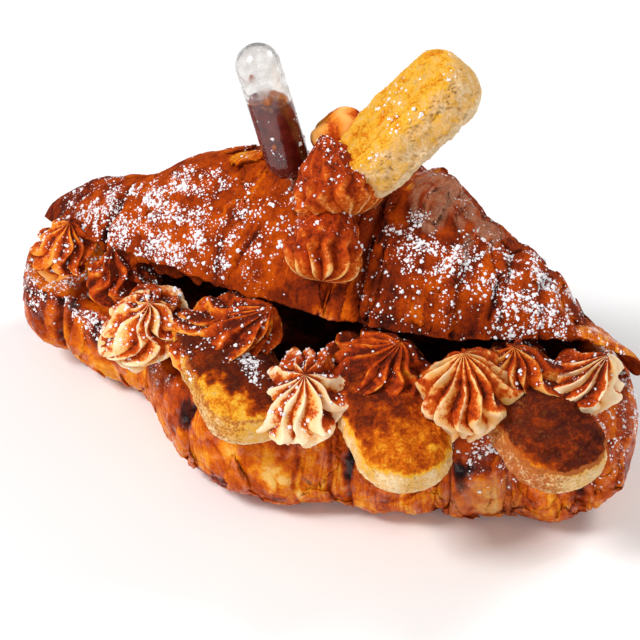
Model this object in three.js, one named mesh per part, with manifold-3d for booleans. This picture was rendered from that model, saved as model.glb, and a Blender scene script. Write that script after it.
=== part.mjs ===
// A large croissant split along its front and filled: ladyfinger biscuits and star-piped cream stand in the
// mouth, and more cream, a biscuit and a squeeze pipette of coffee sauce stand on the lid.
// Millimetres, +Z up. +X runs from the left horn to the right one, and the bowed front faces -Y.
// Along the pastry, a place is a station: the distance from its middle, on the bent centreline.
import * as THREE from "three";
import { mergeVertices } from "three/addons/utils/BufferGeometryUtils.js";
import Module from "manifold-3d";

const wasm = await Module();
wasm.setup();

const { PI, abs, asin, atan2, cos, hypot, max, min, round, sign, sin, sqrt } = Math;

// Driving dimensions of the pastry. Each curve is a list of [station, size].
const ARC_RADIUS = 260; // of the bent centreline
const BASE = {
  tips: [-115, 93],
  halfWidth: [
    [-115, 4], [-109, 14.5], [-90, 23], [-63, 17.5], [-50, 20.5], [-35, 31.5], [-8, 41], [16, 35],
    [55, 25], [76, 23.5], [88, 19], [93, 4],
  ],
  foot: [[-115, 21], [-105, 14.5], [-92, 7.5], [-70, 4], [-40, 1], [-25, 0], [66, 0], [82, 4], [93, 16]],
  cut: [[-115, 30], [-60, 31], [0, 33], [50, 36], [78, 37], [93, 30]],
  wraps: { left: [50, 78], right: [14, 39, 59, 77, 86] }, // distance of each wrap's edge from the middle
  swell: 6, // how far a wrap stands over the edge beside it
};
const LID = {
  tips: [-110, 93],
  frontOut: [[-110, 8], [-90, 14], [-68, 18], [-40, 17], [30, 17], [56, 11], [76, 5], [93, 0]],
  frontUp: [[-110, 42], [-90, 47], [-68, 54], [-30, 56], [50, 56], [76, 54], [93, 45]],
  backOut: [
    [-110, -7], [-90, -23], [-60, -35], [-25, -45], [10, -50], [38, -46], [60, -36], [76, -26], [93, -10],
  ],
  height: [
    [-110, 7], [-102, 14.5], [-88, 17], [-68, 23], [-58, 29.5], [-42, 34], [0, 36.3], [22, 36.5],
    [38, 28.5], [48, 21.5], [60, 16.5], [69, 10.5], [76, 3.5], [93, 1],
  ],
  wraps: { left: [28, 68], right: [14.5, 39, 51, 62, 74] },
  swell: 3.2,
};
const WRAP_RISE = 2; // length of the step from one wrap down to the next
const HINGE_GAP = 0.4; // between the two halves along the back
const CLEARANCE = 0.35; // left between a piece and the neighbour that it presses against
const CENTRING = [9.7, 0.7]; // moves the whole so that the origin is the middle of its foot

// Star-piped kisses: [station, out, up] of the foot, then [radius, height], the foot's width and the level of
// the widest place as shares of those, the tip's lean in X and Y, and how steeply the back is raised
const KISSES = {
  cream_kiss_1: {
    at: [-83, 20, 42.5], size: [10, 15], foot: 0.7, widest: 0.36, lean: [3, 0], tilt: 0.35,
  },
  cream_kiss_2: {
    at: [-43, 29.5, 36], size: [12.5, 18], foot: 0.6, widest: 0.42, lean: [3, -2], tilt: 0.4,
  },
  cream_kiss_3: {
    at: [7, 38, 35.5], size: [13, 19], foot: 0.58, widest: 0.44, lean: [3, -2], tilt: 0.45,
  },
  cream_kiss_4: {
    at: [48, 26, 36.5], size: [12.7, 26], foot: 0.56, widest: 0.47, lean: [-2, -2], tilt: 0.15,
  },
  cream_kiss_5: {
    at: [74, 14, 38.5], size: [10.5, 21], foot: 0.6, widest: 0.42, lean: [8, -1], tilt: 0.15,
  },
  cream_back_1: {
    at: [-61.5, 15, 39], size: [10, 17], foot: 0.8, widest: 0.3, lean: [-3, -2], tilt: 0.2,
  },
  cream_back_2: {
    at: [-21, 27, 43], size: [13, 15], foot: 0.85, widest: 0.3, lean: [15, 4], tilt: 0.3, stretch: 1.15,
  },
  cream_back_3: {
    at: [20, 24, 42], size: [13, 15], foot: 0.85, widest: 0.3, lean: [9, 3], tilt: 0.3, stretch: 1.2,
  },
  cream_back_4: {
    at: [59, 14, 39], size: [13, 21], foot: 0.8, widest: 0.35, lean: [-1, -4], tilt: 0.2,
  },
};

// Ladyfingers: middle of the far end, the way it points, the way its domed top faces, and
// size as [length, width, thickness]
const BISCUITS = {
  biscuit_1: { end: [3, -50, 37], points: [0.7, -0.66, -0.12], faces: [0, 0, 1], size: [50, 27, 15] },
  biscuit_2: { end: [49, -48, 34], points: [0.66, -0.68, -0.2], faces: [0, 0, 1], size: [46, 28, 14] },
  biscuit_3: { end: [87.5, -30.5, 35], points: [0.72, -0.62, -0.2], faces: [0, 0, 1], size: [42, 29, 15] },
  biscuit_top: {
    end: [32, 21.5, 122.5],
    points: [0.58, 0.41, 0.7],
    faces: [-0.62, -0.35, 0.7],
    size: [45, 28.5, 17],
  },
};

// Shells of the cream on the lid, each from its full end to its tail
const SHELLS = [
  { from: [5, -17, 70.5], to: [2, 0, 92], radius: 10.4 },
  { from: [8, -8, 84], to: [-3, 1, 104], radius: 12.3 },
  { from: [1, 8, 96], to: [-7, 27, 97], radius: 9.5 },
];

const PIPETTE = {
  neck: [-14.8, 6, 86], // where the stem meets the bulb
  axis: [-9.4, -4.4, 40.3],
  bulbRadius: 6.3,
  bulbLength: 42,
  stemRadius: 2,
  stemLength: 11,
  wall: 0.7,
  facets: 16,
};
const SAUCE_LEVEL = 110;

// A smooth curve through [station, size] pairs, level past its ends
function follow(pairs, station) {
  const last = pairs.length - 1;
  if (station <= pairs[0][0]) return pairs[0][1];
  if (station >= pairs[last][0]) return pairs[last][1];
  const i = pairs.findIndex(([at]) => at > station) - 1;
  const slope = (k) => {
    const [before, after] = [pairs[max(0, k - 1)], pairs[min(last, k + 1)]];
    return (after[1] - before[1]) / (after[0] - before[0]);
  };
  const [[x0, y0], [x1, y1]] = [pairs[i], pairs[i + 1]];
  const span = x1 - x0;
  const t = (station - x0) / span;
  const bend = span * t * (1 - t) * (slope(i) * (1 - t) - slope(i + 1) * t);
  return y0 * (1 + 2 * t) * (1 - t) ** 2 + y1 * t ** 2 * (3 - 2 * t) + bend;
}

// A point of the pastry: along the bent centreline, out from it towards the front, and up
function pastryPoint(station, out, up) {
  const turn = station / ARC_RADIUS;
  const reach = ARC_RADIUS + out;
  return new THREE.Vector3(reach * sin(turn), ARC_RADIUS - reach * cos(turn), up);
}

// A cosine or sine bent towards a superellipse
function squarer(value, power) {
  return sign(value) * abs(value) ** (2 / power);
}

// How far a wrap of dough swells: it drops in a step at its outer edge, where the next one out begins
function wrapSwell(half, station) {
  const edges = station < 0 ? half.wraps.left : half.wraps.right;
  const tip = abs(station < 0 ? half.tips[0] : half.tips[1]);
  const distance = abs(station);
  const passed = edges.filter((edge) => edge <= distance).length;
  const start = passed ? edges[passed - 1] : -edges[0];
  const end = edges[passed] ?? tip;
  const share = (distance - start) / (end - start);
  const bulge = sin(PI * (0.08 + 0.74 * share));
  const step = passed ? min(1, (distance - start) / WRAP_RISE) : 1;
  const fade = sqrt(1 - min(1, distance / tip) ** 8);
  return half.swell * fade * (sin(PI * 0.82) * (1 - step) + step * bulge);
}

// Stations of a half: both sides of each wrap's step, some between, and more at the tips
function stations(half, between) {
  const [from, to] = half.tips;
  const edges = [
    ...half.wraps.left.flatMap((edge) => [-edge, -edge - WRAP_RISE]),
    ...half.wraps.right.flatMap((edge) => [edge, edge + WRAP_RISE]),
    ...[from, from + 2, from + 6, to - 6, to - 2, to],
  ].sort((a, b) => a - b);
  return edges.flatMap((edge, i) => {
    const gap = edges[i + 1] - edge;
    const cuts = gap > 2.5 ? min(between, max(1, round(gap / 6))) : 0;
    return Array.from({ length: cuts + 1 }, (_, k) => (k ? edge + (gap * k) / (cuts + 1) : edge));
  });
}

// Closes rings of points into one skin: each ring runs round on itself, and the end rings close on a middle
function skin(rings) {
  const count = rings[0].length;
  const middle = (ring) => ring.reduce((sum, p) => sum.add(p), new THREE.Vector3()).divideScalar(count);
  const points = [...rings.flat(), middle(rings[0]), middle(rings.at(-1))];
  const [first, last] = [points.length - 2, points.length - 1];
  const index = [];
  for (let k = 0; k < count; k++) {
    const next = (k + 1) % count;
    index.push(first, next, k, last, (rings.length - 1) * count + k, (rings.length - 1) * count + next);
    for (let r = 0; r + 1 < rings.length; r++) {
      const [a, b] = [r * count + k, r * count + next];
      index.push(a, b, b + count, a, b + count, a + count);
    }
  }
  return facingOut(new THREE.BufferGeometry().setFromPoints(points).setIndex(index));
}

function facingOut(geometry) {
  const p = geometry.getAttribute("position");
  const index = geometry.index.array;
  const [a, b, c] = [new THREE.Vector3(), new THREE.Vector3(), new THREE.Vector3()];
  let volume = 0;
  for (let i = 0; i < index.length; i += 3) {
    a.fromBufferAttribute(p, index[i]);
    b.fromBufferAttribute(p, index[i + 1]);
    c.fromBufferAttribute(p, index[i + 2]);
    volume += a.dot(b.cross(c));
  }
  if (volume < 0) {
    for (let i = 0; i < index.length; i += 3) [index[i], index[i + 1]] = [index[i + 1], index[i]];
  }
  return geometry;
}

// The lower half: a flattened round underside and a bellied side, up to the cut face
function baseGeometry(around = 17, across = 4) {
  const rings = stations(BASE, 3).map((station) => {
    const swell = wrapSwell(BASE, station);
    const halfWidth = follow(BASE.halfWidth, station) + swell;
    const cut = follow(BASE.cut, station);
    const foot = follow(BASE.foot, station);
    const belly = (foot + cut) / 2;
    const under = (belly - foot) * 1.08 + swell * 0.3;
    const over = (cut - belly) * 1.75;
    const rim = asin(((cut - belly) / over) ** 1.25);
    const side = Array.from({ length: around + 1 }, (_, k) => {
      const angle = -rim + ((PI + 2 * rim) * k) / around;
      const down = squarer(sin(angle), 2.5);
      const up = belly - down * (down > 0 ? under : over);
      return pastryPoint(station, halfWidth * squarer(cos(angle), 2.5), max(0, up));
    });
    const [front, back] = [side[0], side.at(-1)];
    const share = (k) => (k + 1) / (across + 1);
    const face = Array.from({ length: across }, (_, k) => back.clone().lerp(front, share(k)));
    return [...side, ...face];
  });
  return skin(rings);
}

// The lid: a dome over a cut face that rises to the front and closes on the lower half along the back
function lidGeometry(around = 17, across = 3) {
  const rings = stations(LID, 2).map((station) => {
    const [backOut, backUp] = [follow(LID.backOut, station), follow(BASE.cut, station) + HINGE_GAP];
    const [frontOut, frontUp] = [follow(LID.frontOut, station), follow(LID.frontUp, station)];
    const half = hypot(frontOut - backOut, frontUp - backUp) / 2;
    const tilt = atan2(frontUp - backUp, frontOut - backOut);
    const height = follow(LID.height, station) + wrapSwell(LID, station);
    const place = (forward, above) =>
      pastryPoint(
        station,
        (frontOut + backOut) / 2 + forward * cos(tilt) - above * sin(tilt),
        (frontUp + backUp) / 2 + forward * sin(tilt) + above * cos(tilt),
      );
    const dome = Array.from({ length: around + 1 }, (_, k) => {
      const angle = (PI * k) / around;
      return place(half * squarer(cos(angle), 2.3), height * squarer(sin(angle), 2.2));
    });
    const cut = Array.from({ length: across }, (_, k) => place(half * ((2 * (k + 1)) / (across + 1) - 1), 0));
    return [...dome, ...cut];
  });
  return skin(rings);
}

// A star-piped kiss, upright on its own origin: ridges round a swelling foot, gathered into a cusp that leans
function kissGeometry(kiss, ridges = 11, levels = 6, twist = 0.4) {
  const { foot, widest, lean, tilt, stretch = 1 } = kiss;
  const [radius, height] = kiss.size;
  const count = ridges * 3;
  const rings = Array.from({ length: levels + 1 }, (_, level) => {
    const t = level / levels;
    const rise = min(1, t / widest);
    const taper = max(0, (t - widest) / (1 - widest));
    const swell = foot + (1 - foot) * sin((PI / 2) * rise) ** 1.2;
    const gather = level < levels ? cos((PI / 2) * taper) ** 0.95 * (1 - 0.16 * sin(PI * taper)) : 0;
    return Array.from({ length: count }, (_, k) => {
      const r = 1.06 * radius * swell * gather * (k % 3 ? 0.8 : 1);
      const angle = (2 * PI * k) / count + twist * t;
      const x = stretch * r * cos(angle) + lean[0] * t ** 1.5;
      const y = r * sin(angle) + lean[1] * t ** 1.5;
      return new THREE.Vector3(x, y, height * t ** 0.9 + tilt * y);
    });
  });
  return skin(rings);
}

// A piped shell: ridges run along it from a full round end to a thin tail
function shellGeometry({ from, to, radius }, ridges = 9, levels = 6) {
  const start = new THREE.Vector3(...from);
  const along = new THREE.Vector3(...to).sub(start);
  const length = along.length();
  const turn = new THREE.Quaternion().setFromUnitVectors(new THREE.Vector3(0, 0, 1), along.normalize());
  const rings = Array.from({ length: levels + 1 }, (_, level) => {
    const t = (level / levels) ** 1.4;
    const reach = radius * max(0.06, sin(PI * t ** 0.45) ** 0.6);
    return Array.from({ length: ridges * 3 }, (_, k) => {
      const r = reach * (k % 3 ? 0.84 : 1);
      const angle = (2 * PI * k) / (ridges * 3) + 0.4 * t;
      const point = new THREE.Vector3(r * cos(angle), r * sin(angle), length * t);
      return point.applyQuaternion(turn).add(start);
    });
  });
  return skin(rings);
}

// A ladyfinger: round-ended and flat underneath, with a domed top; its far end is at its own origin
function biscuitGeometry([length, width, thickness], around = 20, steps = 9) {
  const rings = Array.from({ length: steps + 1 }, (_, k) => {
    const along = (-length * (1 + cos((PI * k) / steps))) / 2;
    const fromEnd = min(1, min(along + length, -along) / (width / 2));
    const full = (1 - (1 - fromEnd) ** 2.3) ** 0.45;
    return Array.from({ length: around }, (_, j) => {
      const angle = (2 * PI * j) / around;
      const top = sin(angle) > 0;
      const side = (width / 2) * max(0.03, full) * squarer(cos(angle), 2.8);
      const up = squarer(sin(angle), top ? 2.2 : 3.6) * (top ? 0.58 : 0.42);
      return new THREE.Vector3(along, side, thickness * up * max(0.1, sqrt(full)));
    });
  });
  return skin(rings);
}

// Turns a geometry so that its X points one way and its Z faces another, then moves it
function placed(geometry, points, faces, at) {
  const x = new THREE.Vector3(...points).normalize();
  const y = new THREE.Vector3(...faces).cross(x).normalize();
  return geometry.applyMatrix4(new THREE.Matrix4().makeBasis(x, y, x.clone().cross(y)).setPosition(...at));
}

// Half of the pipette's outline, up from the stem's end: the stem, a round shoulder and a round-topped bulb
function pipetteProfile(inset, sides = 5) {
  const { bulbRadius, bulbLength, stemRadius, stemLength } = PIPETTE;
  const r = bulbRadius - inset;
  const stem = stemRadius - inset;
  const quarter = Array.from({ length: sides }, (_, k) => ((PI / 2) * (k + 1)) / sides);
  const shoulder = quarter.map(
    (angle) => new THREE.Vector2(stem + (r - stem) * sin(angle), bulbRadius * (1 - cos(angle)) + inset),
  );
  const dome = quarter.map((angle, k) => {
    const out = k + 1 < sides ? r * cos(angle) : 0;
    return new THREE.Vector2(out, bulbLength - bulbRadius + r * sin(angle));
  });
  const tube = [new THREE.Vector2(stem, -stemLength), new THREE.Vector2(stem, inset)];
  return { tube, bulb: [...shoulder, new THREE.Vector2(r, bulbLength - bulbRadius), ...dome] };
}

// Turns an outline round the pipette's own axis
function turned(outline) {
  const axis = new THREE.Vector3(...PIPETTE.axis).normalize();
  const turn = new THREE.Quaternion().setFromUnitVectors(new THREE.Vector3(0, 1, 0), axis);
  const geometry = new THREE.LatheGeometry(outline, PIPETTE.facets);
  return solidOf(geometry.applyQuaternion(turn).translate(...PIPETTE.neck));
}

function pipetteSolid() {
  const outside = pipetteProfile(0);
  const inside = pipetteProfile(PIPETTE.wall);
  return turned([...[...inside.tube, ...inside.bulb].reverse(), ...outside.tube, ...outside.bulb]);
}

// The sauce fills the bulb up to a level surface
function sauceSolid() {
  const { bulb } = pipetteProfile(PIPETTE.wall + CLEARANCE);
  const depth = PIPETTE.bulbLength * 1.5;
  const under = new THREE.BoxGeometry(depth, depth, depth);
  under.translate(PIPETTE.neck[0], PIPETTE.neck[1], SAUCE_LEVEL - depth / 2);
  return turned([new THREE.Vector2(0, bulb[0].y), ...bulb]).intersect(solidOf(under));
}

// What the pipette takes up, with its clearance: the hole in the lid and the dent in the cream
function pipetteRoom() {
  const { tube, bulb } = pipetteProfile(-CLEARANCE);
  const end = tube[0].y - CLEARANCE;
  return turned([new THREE.Vector2(0, end), new THREE.Vector2(tube[0].x, end), ...tube, ...bulb]);
}

function solidOf(geometry) {
  const bare = geometry.clone();
  for (const name of Object.keys(bare.attributes)) if (name !== "position") bare.deleteAttribute(name);
  const merged = mergeVertices(bare, 1e-4);
  return new wasm.Manifold(
    new wasm.Mesh({
      numProp: 3,
      vertProperties: merged.attributes.position.array,
      triVerts: new Uint32Array(merged.index.array),
    }),
  );
}

function geometryOf(solid) {
  const mesh = solid.getMesh();
  const geometry = new THREE.BufferGeometry();
  geometry.setAttribute("position", new THREE.BufferAttribute(mesh.vertProperties, 3));
  geometry.setIndex(new THREE.BufferAttribute(mesh.triVerts, 1));
  geometry.computeVertexNormals();
  return geometry;
}

// A skin swollen by the clearance, to cut its neighbours with
function grown(geometry) {
  const swollen = geometry.clone();
  swollen.computeVertexNormals();
  const { position, normal } = swollen.attributes;
  const [point, out] = [new THREE.Vector3(), new THREE.Vector3()];
  for (let i = 0; i < position.count; i++) {
    point.fromBufferAttribute(position, i);
    point.addScaledVector(out.fromBufferAttribute(normal, i), CLEARANCE);
    position.setXYZ(i, ...point.toArray());
  }
  return solidOf(swollen);
}

const crust = new THREE.MeshStandardMaterial({ name: "crust", color: 0xa8551c, roughness: 0.45 });
const cream = new THREE.MeshStandardMaterial({ name: "cream", color: 0xe8b888, roughness: 0.6 });
const sponge = new THREE.MeshStandardMaterial({ name: "sponge", color: 0xe8b050, roughness: 0.85 });
const clear = new THREE.MeshStandardMaterial({ name: "clear_plastic", color: 0xe2ddd6, roughness: 0.1 });
const sauce = new THREE.MeshStandardMaterial({ name: "sauce", color: 0x57180e, roughness: 0.2 });

const croissant = new THREE.Group();
croissant.position.set(...CENTRING, 0);
const rooms = [pipetteRoom()]; // the space that each piece so far takes up

function add(name, material, solid) {
  const mesh = new THREE.Mesh(geometryOf(solid), material);
  mesh.name = name;
  croissant.add(mesh);
}

// Cuts a solid clear of the pieces before it, and keeps its largest part
function cutClear(solid) {
  const rest = rooms.reduce((left, room) => left.subtract(room), solid);
  return rest.decompose().sort((a, b) => b.volume() - a.volume())[0];
}

function addPressed(name, material, geometry) {
  add(name, material, cutClear(solidOf(geometry)));
  rooms.push(grown(geometry));
}

addPressed("croissant_base", crust, baseGeometry());
addPressed("croissant_lid", crust, lidGeometry());
for (const [name, { end, points, faces, size }] of Object.entries(BISCUITS)) {
  addPressed(name, sponge, placed(biscuitGeometry(size), points, faces, end));
}
for (const [name, kiss] of Object.entries(KISSES)) {
  addPressed(name, cream, kissGeometry(kiss).translate(...pastryPoint(...kiss.at).toArray()));
}
const shells = SHELLS.map((shell) => solidOf(shellGeometry(shell)));
add("cream_top", cream, cutClear(shells.reduce((whole, shell) => whole.add(shell))));
add("pipette", clear, pipetteSolid());
add("pipette_sauce", sauce, sauceSolid());

export default croissant;
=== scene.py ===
import math

import bpy
import numpy as np
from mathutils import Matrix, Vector, noise


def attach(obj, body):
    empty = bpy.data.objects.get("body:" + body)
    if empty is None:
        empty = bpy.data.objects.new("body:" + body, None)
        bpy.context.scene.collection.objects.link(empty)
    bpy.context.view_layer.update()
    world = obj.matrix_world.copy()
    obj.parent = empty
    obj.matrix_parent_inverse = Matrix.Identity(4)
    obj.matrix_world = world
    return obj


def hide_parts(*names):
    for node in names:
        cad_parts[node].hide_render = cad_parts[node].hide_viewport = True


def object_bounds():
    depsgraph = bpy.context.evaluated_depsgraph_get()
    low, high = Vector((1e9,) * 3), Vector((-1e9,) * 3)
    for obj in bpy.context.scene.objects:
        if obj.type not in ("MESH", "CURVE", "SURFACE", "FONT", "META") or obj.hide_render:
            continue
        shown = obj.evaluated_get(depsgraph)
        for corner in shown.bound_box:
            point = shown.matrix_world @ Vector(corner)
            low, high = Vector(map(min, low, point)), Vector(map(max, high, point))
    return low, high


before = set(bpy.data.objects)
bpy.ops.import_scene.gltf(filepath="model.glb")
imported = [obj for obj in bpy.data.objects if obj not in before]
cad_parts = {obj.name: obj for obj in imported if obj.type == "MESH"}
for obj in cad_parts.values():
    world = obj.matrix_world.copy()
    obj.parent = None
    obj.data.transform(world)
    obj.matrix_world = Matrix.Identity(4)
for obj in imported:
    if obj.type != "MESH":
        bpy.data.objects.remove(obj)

# Shapes are worked out in millimetres with numpy, as grids of rings, and become metres in the mesh.
# Along the pastry a place is a station, the distance from its middle on the bent centreline.
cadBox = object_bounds()
mm = 0.001
arcRadius = 260.0
centring = np.array([9.7, 0.7, 0.0])
print("frame loaded", cadBox)


def shade(red, green, blue):
    # a colour as it shows on screen, 0 to 255, in the linear values that shaders mix
    parts = [c / 255 for c in (red, green, blue)]
    return [*(c / 12.92 if c < 0.04045 else ((c + 0.055) / 1.055) ** 2.4 for c in parts), 1.0]


def smooth(value, low=0.0, high=1.0):
    t = np.clip((value - low) / (high - low), 0, 1)
    return t * t * (3 - 2 * t)


def field(points, size, seed=0.0):
    # soft noise between about -1 and 1, with lumps of a size in mm, or of one size per axis
    scaled = points / np.array(size) + seed * np.array([13.7, 7.1, 3.3])
    flat = scaled.reshape(-1, 3).tolist()
    return np.array([noise.noise(p) for p in flat]).reshape(scaled.shape[:-1])


def cells(points, size, seed=0.0):
    # distance to the nearest and to the second nearest point of a random scatter, in cell sizes
    scaled = points / np.array(size) + seed * np.array([13.7, 7.1, 3.3])
    found = np.array([noise.voronoi(p)[0][:2] for p in scaled.reshape(-1, 3).tolist()])
    return found.reshape(*scaled.shape[:-1], 2)


def scales(points, size, seed=0.0):
    # flaky patches: how far a point is from its patch's edge, and a random value from 0 to 1
    scaled = (points / np.array(size) + seed * np.array([13.7, 7.1, 3.3])).reshape(-1, 3).tolist()
    found = [noise.voronoi(p) for p in scaled]
    edge = np.array([distances[1] - distances[0] for distances, corners in found])
    middles = [corners[0] for distances, corners in found]
    value = np.array([math.sin(12.9 * c.x + 78.2 * c.y + 37.7 * c.z) * 437.5 % 1 for c in middles])
    return edge.reshape(points.shape[:-1]), value.reshape(points.shape[:-1])


def follow(pairs, at):
    # a smooth curve through [station, size] pairs, level past its ends
    x, y = np.array(pairs, float).T
    last = len(x) - 1
    before, after = np.maximum(np.arange(last + 1) - 1, 0), np.minimum(np.arange(last + 1) + 1, last)
    slope = (y[after] - y[before]) / (x[after] - x[before])
    at = np.clip(at, x[0], x[-1])
    i = np.clip(np.searchsorted(x, at, side="right") - 1, 0, last - 1)
    span = x[i + 1] - x[i]
    t = (at - x[i]) / span
    bend = span * t * (1 - t) * (slope[i] * (1 - t) - slope[i + 1] * t)
    return y[i] * (1 + 2 * t) * (1 - t) ** 2 + y[i + 1] * t**2 * (3 - 2 * t) + bend


def pastryPoint(station, out, up):
    turn, reach = station / arcRadius, arcRadius + out
    return np.stack([reach * np.sin(turn), arcRadius - reach * np.cos(turn), up + 0 * out], -1) + centring


def squarer(value, power):
    return np.sign(value) * np.abs(value) ** (2 / power)


def gridNormals(grid):
    along = np.gradient(grid, axis=0)
    around = np.roll(grid, -1, 1) - np.roll(grid, 1, 1)
    normal = np.cross(around, along)
    normal /= np.maximum(np.linalg.norm(normal, axis=-1, keepdims=True), 1e-9)
    outward = ((grid - grid.mean(1, keepdims=True)) * normal).sum() > 0
    return normal if outward else -normal


def skin(grid, **marks):
    # rings closed into one shell: points, faces and a value per point for each mark
    rings, count = grid.shape[:2]
    corner = np.arange(rings * count).reshape(rings, count)
    beside = np.roll(corner, -1, 1)
    quads = np.stack([corner[:-1], beside[:-1], beside[1:], corner[1:]], -1).reshape(-1, 4)
    first, last = rings * count, rings * count + 1
    caps = [[first, b, a] for a, b in zip(corner[0], beside[0])]
    caps += [[last, a, b] for a, b in zip(corner[-1], beside[-1])]
    points = np.concatenate([grid.reshape(-1, 3), grid[:1].mean(1), grid[-1:].mean(1)])
    a, b, c, d = (points[quads[:, k]] for k in range(4))
    volume = (a * np.cross(b, c)).sum() + (a * np.cross(c, d)).sum()
    faces = quads.tolist() + caps
    if volume < 0:
        faces = [face[::-1] for face in faces]
    values = {}
    for name, value in marks.items():
        value = np.broadcast_to(value, (rings, count))
        values[name] = np.concatenate([value.ravel(), value[:1].mean(1), value[-1:].mean(1)])
    return points, faces, values


sugared = []


def addObject(name, data):
    made = bpy.data.objects.new(name, data)
    bpy.context.scene.collection.objects.link(made)
    return made


def heldIn(points):
    # eases what would pass the CAD's box back inside it, and leaves the foot flat
    low, high, ease = np.array(cadBox[0]), np.array(cadBox[1]), 0.8 * mm
    past = np.maximum(points - (high - ease), 0)
    points = np.minimum(points, high - ease) + ease * (1 - np.exp(-past / ease))
    past = np.maximum(low + ease - points, 0)
    eased = np.maximum(points, low + ease) - ease * (1 - np.exp(-past / ease))
    eased[:, 2] = np.maximum(points[:, 2], low[2])
    return eased


def makePiece(name, skins, material, node):
    # one mesh object of one or more shells, which stands for a CAD node
    points, faces, marks = [], [], {}
    for shellPoints, shellFaces, shellMarks in skins:
        start = sum(len(p) for p in points)
        points.append(shellPoints)
        faces += [[start + i for i in face] for face in shellFaces]
        for mark, value in shellMarks.items():
            marks.setdefault(mark, []).append(value)
    mesh = bpy.data.meshes.new(name)
    inside = heldIn(np.concatenate(points) * mm)
    mesh.from_pydata(inside.tolist(), [], faces)
    for mark, values in marks.items():
        attribute = mesh.attributes.new(mark, "FLOAT", "POINT")
        attribute.data.foreach_set("value", np.concatenate(values).astype(np.float32))
    mesh.shade_smooth()
    mesh.materials.append(material)
    if "sugar" in marks:
        sugared.append((inside, faces, np.concatenate(marks["sugar"])))
    piece = addObject(name, mesh)
    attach(piece, "root")
    if node:
        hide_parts(node)
    print(name, len(mesh.polygons), "faces")
    return piece


def newNode(tree, kind, inputs, settings):
    # a node with its settings, and its inputs set to values or linked to sockets
    made = tree.nodes.new(kind)
    for key, value in settings.items():
        setattr(made, key, value)
    for key, value in inputs.items():
        if isinstance(value, bpy.types.NodeSocket):
            tree.links.new(value, made.inputs[key])
        else:
            made.inputs[key].default_value = value
    return made


def put(tree, kind, inputs=None, **settings):
    return newNode(tree, "ShaderNode" + kind, inputs or {}, settings)


def shape(tree, kind, inputs, **settings):
    return newNode(tree, "GeometryNode" + kind, inputs, settings)


def newMaterial(name):
    material = bpy.data.materials.new(name)
    material.use_nodes = True
    tree = material.node_tree
    return material, tree, tree.nodes["Principled BSDF"]


def setSockets(shader, values):
    for name, value in values.items():
        shader.inputs[name].default_value = value


def mark(tree, name):
    return put(tree, "Attribute", attribute_name=name).outputs["Fac"]


def grain(tree, size, detail=3.0, roughness=0.55, vector=None):
    # noise with lumps of a size in mm
    place = vector or put(tree, "TexCoord").outputs["Object"]
    unit = 1.0 if vector else 1 / mm
    inputs = {"Vector": place, "Scale": unit / size, "Detail": detail, "Roughness": roughness}
    return put(tree, "TexNoise", inputs).outputs["Fac"]


def sums(tree, operation, *values):
    result = values[0]
    for value in values[1:]:
        result = put(tree, "Math", {0: result, 1: value}, operation=operation).outputs[0]
    return result


def between(tree, value, low, high, newLow=0.0, newHigh=1.0):
    inputs = {"Value": value, "From Min": low, "From Max": high, "To Min": newLow, "To Max": newHigh}
    return put(tree, "MapRange", inputs, interpolation_type="SMOOTHSTEP").outputs["Result"]


def blendColour(tree, factor, first, second):
    return put(tree, "Mix", {0: factor, 6: first, 7: second}, data_type="RGBA").outputs[2]


def ramp(tree, factor, stops):
    made = put(tree, "ValToRGB", {"Fac": factor})
    elements = made.color_ramp.elements
    while len(elements) < len(stops):
        elements.new(0.5)
    for element, (place, colour) in zip(elements, stops):
        element.position = place
        element.color = colour
    return made.outputs["Color"]


def bump(tree, height, distance, strength=1.0):
    inputs = {"Height": height, "Distance": distance * mm, "Strength": strength}
    return put(tree, "Bump", inputs).outputs["Normal"]


def surfacePlace(tree):
    # where a point lies on a crust, in mm: along the pastry and round it
    return put(tree, "CombineXYZ", {0: mark(tree, "station"), 1: mark(tree, "around")}).outputs[0]


# Baked crust: laminated dough whose tone goes from pale crumb through gold and rust to nearly black; the
# darkest tones are painted shade in cracks and inside the mouth
crustLook = {
    "tones": [(0.0, (244, 192, 104)), (0.16, (240, 152, 30)), (0.32, (218, 104, 6)), (0.48, (182, 68, 4)),
              (0.66, (132, 42, 8)), (0.84, (72, 24, 14)), (1.0, (26, 11, 11))],
    "ashen": (188, 134, 104), "gloss": 0.32, "dusty": 0.85, "coat": 0.8,
    "sockets": {"Specular IOR Level": 0.06, "Coat Roughness": 0.14},
}


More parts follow.
